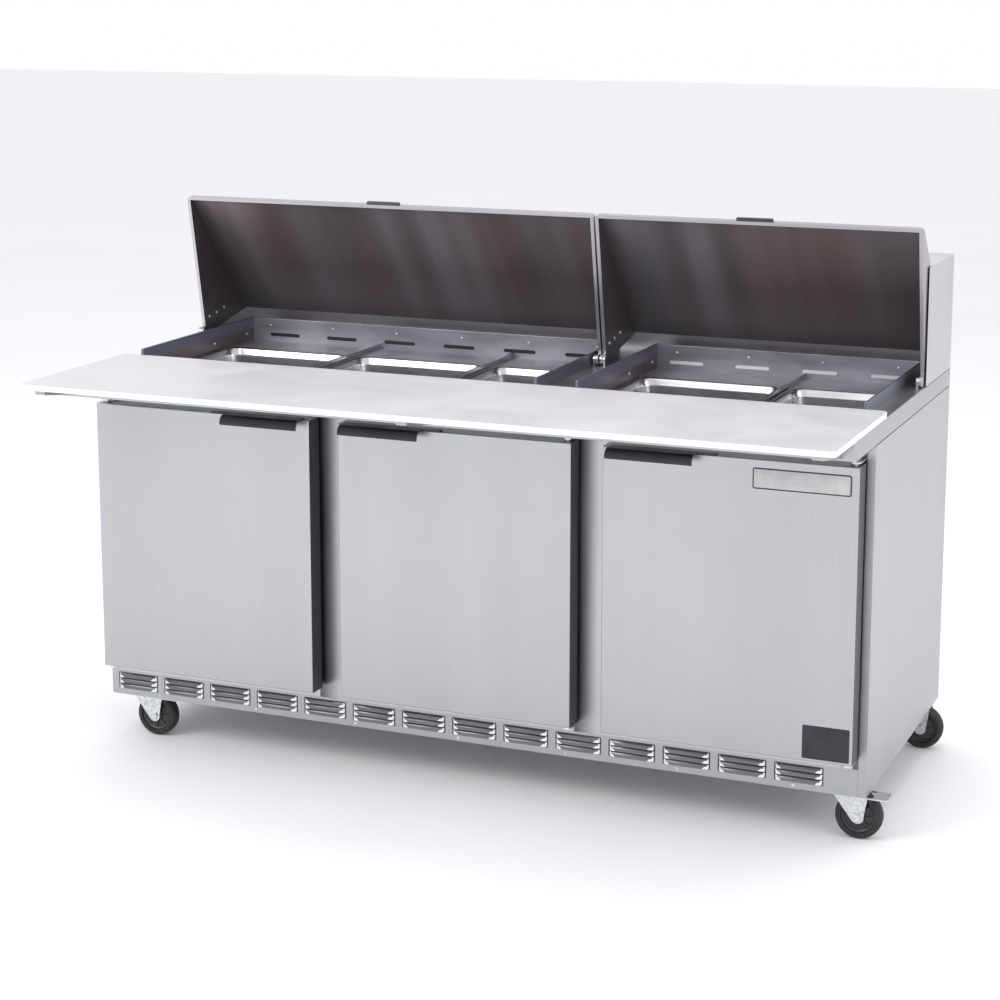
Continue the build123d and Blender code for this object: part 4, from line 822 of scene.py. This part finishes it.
def well_details(side):
    """Screws in the well walls, and the lining seen through the air slots: painted light in the right well, painted
    shadow in the left.
    """
    low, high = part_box(side + "_pan_well")
    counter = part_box("countertop")[1].z
    wall_drop, back_rise, row_margin = 0.012, 0.008, 0.055
    lining_back, lining_drop, lining_margin, lining_half = 0.0029, 0.015, 0.012, 0.008
    bm = bmesh.new()
    for share in (0.18, 0.62, 0.93):
        y = low.y + WELL_HEM + share * (high.y - low.y - 2 * WELL_HEM)
        screw(bm, Vector((low.x + WELL_HEM, y, counter - wall_drop)), X_AXIS, 0.004, 0.002)
        screw(bm, Vector((high.x - WELL_HEM, y, counter - wall_drop)), -X_AXIS, 0.004, 0.002)
    back = high.y - WELL_HEM
    count = 6 if side == "left" else 4
    for i in range(count):
        x = low.x + row_margin + i * (high.x - low.x - 2 * row_margin) / (count - 1)
        screw(bm, Vector((x, back, counter + back_rise)), -Y_AXIS, 0.0036, 0.002)
    piece(side + "_well_screws", bm, "zinc", "cabinet")
    # Painted light in the right well, painted shadow in the left.
    centre = Vector(((low.x + high.x) / 2, back + lining_back, counter - lining_drop))
    bm = bmesh.new()
    plate(bm, centre, X_AXIS, Z_AXIS, (high.x - low.x) / 2 - lining_margin, lining_half, 0.0008, 0.002)
    piece(side + "_duct_painted_light", bm, "duct" if side == "right" else "gap", "cabinet")


def seams():
    """Fine shadow lines at the right end, where the worktop meets the side and the housing meets the worktop."""
    low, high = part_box("countertop")
    housing_low, housing_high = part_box("rear_housing")
    proud, half, edge = 0.0002, 0.0006, 0.00005
    rows = (
        ((low.y + high.y) / 2, low.z + 0.0005, (high.y - low.y) / 2 - 0.004),
        ((housing_low.y + housing_high.y) / 2, high.z + 0.0004, (housing_high.y - housing_low.y) / 2 - 0.001),
    )
    bm = bmesh.new()
    for y, z, length in rows:
        plate(bm, Vector((high.x, y, z)), Y_AXIS, Z_AXIS, length, half, proud, half, edge)
    return piece("panel_seams", bm, "gap", "cabinet")


# ---------------------------------------------------------------- pans

def drawn_pan(name):
    """A drawn pan: rolled rim, shoulder, drafted walls and a dished floor."""
    low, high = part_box(name)
    centre = (low + high) / 2
    half_x, half_y = (high.x - low.x) / 2, (high.y - low.y) / 2
    top = high.z
    depth = high.z - low.z
    rim = 0.014
    draft = 0.005
    profile = [
        (0.0002, 0.018, -0.0012), (0.0, 0.018, -0.0004), (0.0006, 0.018, 0.0), (rim - 0.004, 0.024, 0.0),
        (rim - 0.0015, 0.026, -0.0006), (rim, 0.027, -0.0026), (rim + 0.0004, 0.027, -0.012),
        (rim + 0.0022, 0.0265, -0.0145), (rim + 0.0026, 0.0265, -0.018),
        (rim + 0.0026 + draft * 0.5, 0.028, -depth * 0.55), (rim + 0.0026 + draft, 0.029, -depth + 0.016),
        (rim + 0.0045 + draft, 0.029, -depth + 0.0085), (rim + 0.0095 + draft, 0.027, -depth + 0.0032),
        (rim + 0.017 + draft, 0.022, -depth + 0.0014), (rim + 0.05, 0.02, -depth + 0.0010),
        (rim + 0.055, 0.02, -depth + 0.0022), (rim + 0.09, 0.02, -depth + 0.0024),
    ]
    rings = []
    for inset, corner, height in profile:
        outline = rounded_outline(half_x - inset, half_y - inset, corner, 8)
        rings.append([Vector((centre.x + a, centre.y + b, top + height)) for a, b in outline])
    bm = bmesh.new()
    skin(bm, rings, caps=(False, True))
    made = piece(name + "_drawn", bm, "pan", name, angle=60.0)
    wall = made.modifiers.new("sheet", "SOLIDIFY")
    wall.thickness = 0.0008
    wall.offset = -1.0
    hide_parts(name)
    return made


# ---------------------------------------------------------------- casters

def wheel(place):
    """Tyre with a grooved crown, and a hub with ribs and a bearing cap."""
    name = place + "_wheel"
    low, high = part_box(name)
    centre = (low + high) / 2
    radius = (high.z - low.z) / 2
    half = (high.y - low.y) / 2
    rim = radius - 0.015
    profile = [
        (rim, -half + 0.004), (rim + 0.002, -half + 0.0008), (radius - 0.007, -half + 0.0004),
        (radius - 0.003, -half + 0.002), (radius - 0.0009, -half + 0.0055), (radius - 0.0002, -half * 0.45),
        (radius - 0.0012, -half * 0.38), (radius - 0.0012, -half * 0.34), (radius, -half * 0.27),
        (radius, half * 0.27), (radius - 0.0012, half * 0.34), (radius - 0.0012, half * 0.38),
        (radius - 0.0002, half * 0.45), (radius - 0.0009, half - 0.0055), (radius - 0.003, half - 0.002),
        (radius - 0.007, half - 0.0004), (rim + 0.002, half - 0.0008), (rim, half - 0.004),
    ]
    bm = bmesh.new()
    lathe(bm, centre, Y_AXIS, profile + [profile[0]], 72, caps=(False, False))
    bmesh.ops.remove_doubles(bm, verts=bm.verts, dist=1e-6)
    tyre = piece(place + "_tyre", bm, "rubber", name, angle=50.0)
    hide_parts(name)
    bore = 0.0051
    bm = bmesh.new()
    hub = [
        (bore, -half + 0.001), (0.0125, -half + 0.001), (0.0145, -half + 0.003), (0.015, -half + 0.0075),
        (0.020, -half + 0.0085), (rim - 0.006, -half + 0.0085), (rim - 0.003, -half + 0.005),
        (rim + 0.0004, -half + 0.0042), (rim + 0.0004, half - 0.0042), (rim - 0.003, half - 0.005),
        (rim - 0.006, half - 0.0085), (0.020, half - 0.0085), (0.015, half - 0.0075), (0.0145, half - 0.003),
        (0.0125, half - 0.001), (bore, half - 0.001),
    ]
    lathe(bm, centre, Y_AXIS, hub + [hub[0]], 48, caps=(False, False))
    bmesh.ops.remove_doubles(bm, verts=bm.verts, dist=1e-6)
    ribs = 8
    for face in (-1, 1):
        for i in range(ribs):
            turn = 2 * math.pi * i / ribs
            out = Vector((math.cos(turn), 0, math.sin(turn)))
            side = out.cross(Y_AXIS).normalized()
            mid = centre + out * (0.0145 + rim - 0.004) / 2 + Y_AXIS * face * (half - 0.009)
            plate(bm, mid, out if face < 0 else side, side if face < 0 else out,
                  (rim - 0.004 - 0.0145) / 2 if face < 0 else 0.0015,
                  0.0015 if face < 0 else (rim - 0.004 - 0.0145) / 2, 0.0035, 0.0007, 0.0004)
    return piece(place + "_hub", bm, "fan", name, angle=40.0)


def caster_details(place):
    """Plate bolts and the pressed race ring of one caster."""
    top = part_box(place + "_caster_fork")[1].z
    bolt_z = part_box("caster_plates")[1].z - 0.0041
    wheel_low, wheel_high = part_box(place + "_wheel")
    x = (wheel_low.x + wheel_high.x) / 2 - CASTER_TRAIL
    y = (wheel_low.y + wheel_high.y) / 2
    spread = 0.029
    bm = bmesh.new()
    for sx in (-1, 1):
        for sy in (-1, 1):
            hex_bolt(bm, Vector((x + sx * spread, y + sy * spread, bolt_z)), -Z_AXIS, 0.0055, 0.0045)
    piece(place + "_plate_bolts", bm, "zinc", "cabinet")
    bm = bmesh.new()
    lathe(bm, Vector((x, y, 0)), Z_AXIS, [
        (0.0292, top - 0.0175), (0.0325, top - 0.0165), (0.0345, top - 0.0135), (0.0345, top - 0.0105),
        (0.0325, top - 0.0075), (0.0305, top - 0.0055), (0.0303, top - 0.0025), (0.0292, top - 0.0015),
    ], 48, caps=(False, False))
    return piece(place + "_race_ring", bm, "zinc", place + "_caster")


# ---------------------------------------------------------------- inside the cabinet

def wire_shelf(side):
    """A coated wire shelf: close rods on three heavier cross rods."""
    name = side + "_shelf"
    low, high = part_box(name)
    rods = 27
    thin = 0.0016
    thick = 0.0029
    z_rod = high.z - thin - 0.0003
    z_cross = low.z + thick
    bm = bmesh.new()
    step = (high.x - low.x - 2 * thick - 0.012) / (rods - 1)
    for i in range(rods):
        x = low.x + thick + 0.006 + i * step
        tube(bm, [(x, low.y + thick, z_rod - 0.003), (x, low.y + thick + 0.004, z_rod),
                  (x, high.y - thick - 0.004, z_rod), (x, high.y - thick, z_rod - 0.003)], thin, 8)
    for y in (low.y + 0.008, (low.y + high.y) / 2, high.y - 0.008):
        tube(bm, [(low.x + 0.0002, y, z_cross), (high.x - 0.0002, y, z_cross)], thick, 10)
    made = piece(name + "_wires", bm, "wire", name, angle=60.0)
    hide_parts(name)
    return made


def fan_guard():
    """A wire guard over the evaporator fan's mouth."""
    low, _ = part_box("evaporator_shroud")
    blades_low, blades_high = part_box("evaporator_fan_blades")
    centre = Vector(((blades_low.x + blades_high.x) / 2, low.y - 0.003, (blades_low.z + blades_high.z) / 2))
    bm = bmesh.new()
    steps = 48
    for radius in (0.016, 0.028, 0.040, 0.052, 0.063):
        ring = [centre + Vector((math.cos(t), 0, math.sin(t))) * radius
                for t in (2 * math.pi * i / steps for i in range(steps))]
        tube(bm, ring, 0.0009, 8, closed=True)
    for i in range(4):
        turn = math.pi / 4 + i * math.pi / 2
        out = Vector((math.cos(turn), 0, math.sin(turn)))
        tube(bm, [centre + Y_AXIS * 0.0016 + out * 0.014, centre + Y_AXIS * 0.0016 + out * 0.066], 0.0013, 8)
    return piece("evaporator_fan_guard", bm, "wire", "cabinet", angle=60.0)


def coil_bends():
    """Copper return bends at the end of the evaporator coil."""
    low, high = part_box("evaporator_coil")
    bm = bmesh.new()
    size_y, size_z = high.y - low.y, high.z - low.z
    middle_z = (low.z + high.z) / 2
    rows = 4
    for end, way in ((low.x, -1), (high.x, 1)):
        for y in (low.y + size_y * 0.25, low.y + size_y * 0.75):
            for i in range(rows - 1):
                if (i + (way > 0)) % 2:
                    continue
                z0 = middle_z + (i - (rows - 1) / 2) * size_z / 4
                z1 = z0 + size_z / 4
                mid = (z0 + z1) / 2
                half = (z1 - z0) / 2
                points = [Vector((end + way * math.sin(t) * 0.0075, y, mid - half * math.cos(t)))
                          for t in (math.pi * k / 10 for k in range(11))]
                tube(bm, points, 0.0042, 12)
    return piece("evaporator_coil_bends", bm, "copper", "cabinet", angle=60.0)


def rear_screws():
    """Screws round the back panel."""
    low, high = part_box("rear_panel")
    inset = 0.012
    columns, rows = 9, 4
    spots = []
    for i in range(columns):
        x = low.x + inset + i * (high.x - low.x - 2 * inset) / (columns - 1)
        spots += [(x, low.z + inset), (x, high.z - inset)]
    for j in range(1, rows):
        z = low.z + inset + j * (high.z - low.z - 2 * inset) / rows
        spots += [(low.x + inset, z), (high.x - inset, z)]
    bm = bmesh.new()
    for x, z in spots:
        screw(bm, Vector((x, high.y - SHEET, z)), Y_AXIS, 0.0042, 0.0011)
    return piece("rear_panel_screws", bm, "zinc", "cabinet")


for side in SIDES:
    lid_painted_light(side)
    lid_bolts(side)
    well_details(side)
for name in PANS:
    drawn_pan(name)
for place in CASTERS:
    wheel(place)
    caster_details(place)
for side in DOORS:
    wire_shelf(side)
badge()
corner_plate()
louvres()
grille_screws()
air_filter()
seams()
fan_guard()
coil_bends()
rear_screws()

for name in ("left_side_panel", "right_side_panel", "rear_housing", "divider_bars"):
    soften(name, 0.0004)
for side in SIDES:
    soften(side + "_lid", 0.0012, 3)
    soften(side + "_lid_handle", 0.0006)


# ---------------------------------------------------------------- studio

def floor():
    """A plain pale floor."""
    look = Look("floor_paint", rough=0.6)
    drift = look.noise(look.space(), 1.2, 3.0, 0.5)
    look.colour(look.ramp(drift, [(0.3, (0.94, 0.94, 0.942)), (0.7, (0.965, 0.965, 0.966))]))
    look.roughness(look.span(drift, 0.55, 0.7, 0.3, 0.7))
    look.bump(look.noise(look.space(), 300.0, 2.0), 0.05, 0.0004)
    size = 30.0
    bm = bmesh.new()
    for corner in ((-size, -size), (size, -size), (size, size), (-size, size)):
        bm.verts.new((corner[0], corner[1], 0.0))
    bm.faces.new(bm.verts)
    mesh = bpy.data.meshes.new("floor")
    bm.to_mesh(mesh)
    bm.free()
    mesh.materials.append(look.material)
    made = bpy.data.objects.new("floor", mesh)
    bpy.context.scene.collection.objects.link(made)


def softbox(name, place, aim, size, watts):
    """A square area light aimed at a point."""
    lamp = bpy.data.lights.new(name, "AREA")
    lamp.shape = "RECTANGLE"
    lamp.size, lamp.size_y = size
    lamp.energy = watts
    made = bpy.data.objects.new(name, lamp)
    made.location = place
    made.rotation_mode = "QUATERNION"
    made.rotation_quaternion = (Vector(aim) - Vector(place)).to_track_quat("-Z", "Y")
    bpy.context.scene.collection.objects.link(made)


def studio():
    """A pale surround that shows white, and three soft lights."""
    world = bpy.data.worlds.new("studio")
    bpy.context.scene.world = world
    world.use_nodes = True
    cool_white, surround_strength = (0.96, 0.97, 1.0, 1), 0.96
    nodes, links = world.node_tree.nodes, world.node_tree.links
    light = nodes["Background"]
    light.inputs["Color"].default_value = cool_white
    light.inputs["Strength"].default_value = surround_strength
    white = nodes.new("ShaderNodeBackground")
    white.inputs["Color"].default_value = (1, 1, 1, 1)
    white.inputs["Strength"].default_value = 1.0
    path = nodes.new("ShaderNodeLightPath")
    mix = nodes.new("ShaderNodeMixShader")
    links.new(path.outputs["Is Camera Ray"], mix.inputs["Fac"])
    links.new(light.outputs["Background"], mix.inputs[1])
    links.new(white.outputs["Background"], mix.inputs[2])
    links.new(mix.outputs["Shader"], nodes["World Output"].inputs["Surface"])
    aim = (0, 0, 0.7)
    for name, place, size, watts in (
        ("key", (-2.6, -3.6, 3.6), (2.6, 2.6), 95),
        ("fill", (4.2, -1.2, 2.4), (2.4, 2.4), 42),
        ("top", (0.2, 0.6, 4.2), (3.6, 2.4), 60),
    ):
        softbox(name, place, aim, size, watts)


def camera():
    """The view from the front right, from a little above."""
    millimetre = 0.001
    place = Vector((1912.7, -4611.8, 1810.4)) * millimetre
    yaw, pitch = -0.3954, 0.1809
    forward = Vector((math.sin(yaw) * math.cos(pitch), math.cos(yaw) * math.cos(pitch), -math.sin(pitch)))
    data = bpy.data.cameras.new("camera")
    sensor_mm, lens_mm, shift_share = 36.0, 81.25, -0.12
    data.sensor_width = sensor_mm
    data.lens = lens_mm
    data.shift_y = shift_share
    made = bpy.data.objects.new("camera", data)
    made.location = place
    made.rotation_mode = "QUATERNION"
    made.rotation_quaternion = forward.to_track_quat("-Z", "Y")
    bpy.context.scene.collection.objects.link(made)
    bpy.context.scene.camera = made


floor()
studio()
camera()
bpy.context.scene.view_settings.view_transform = "Standard"
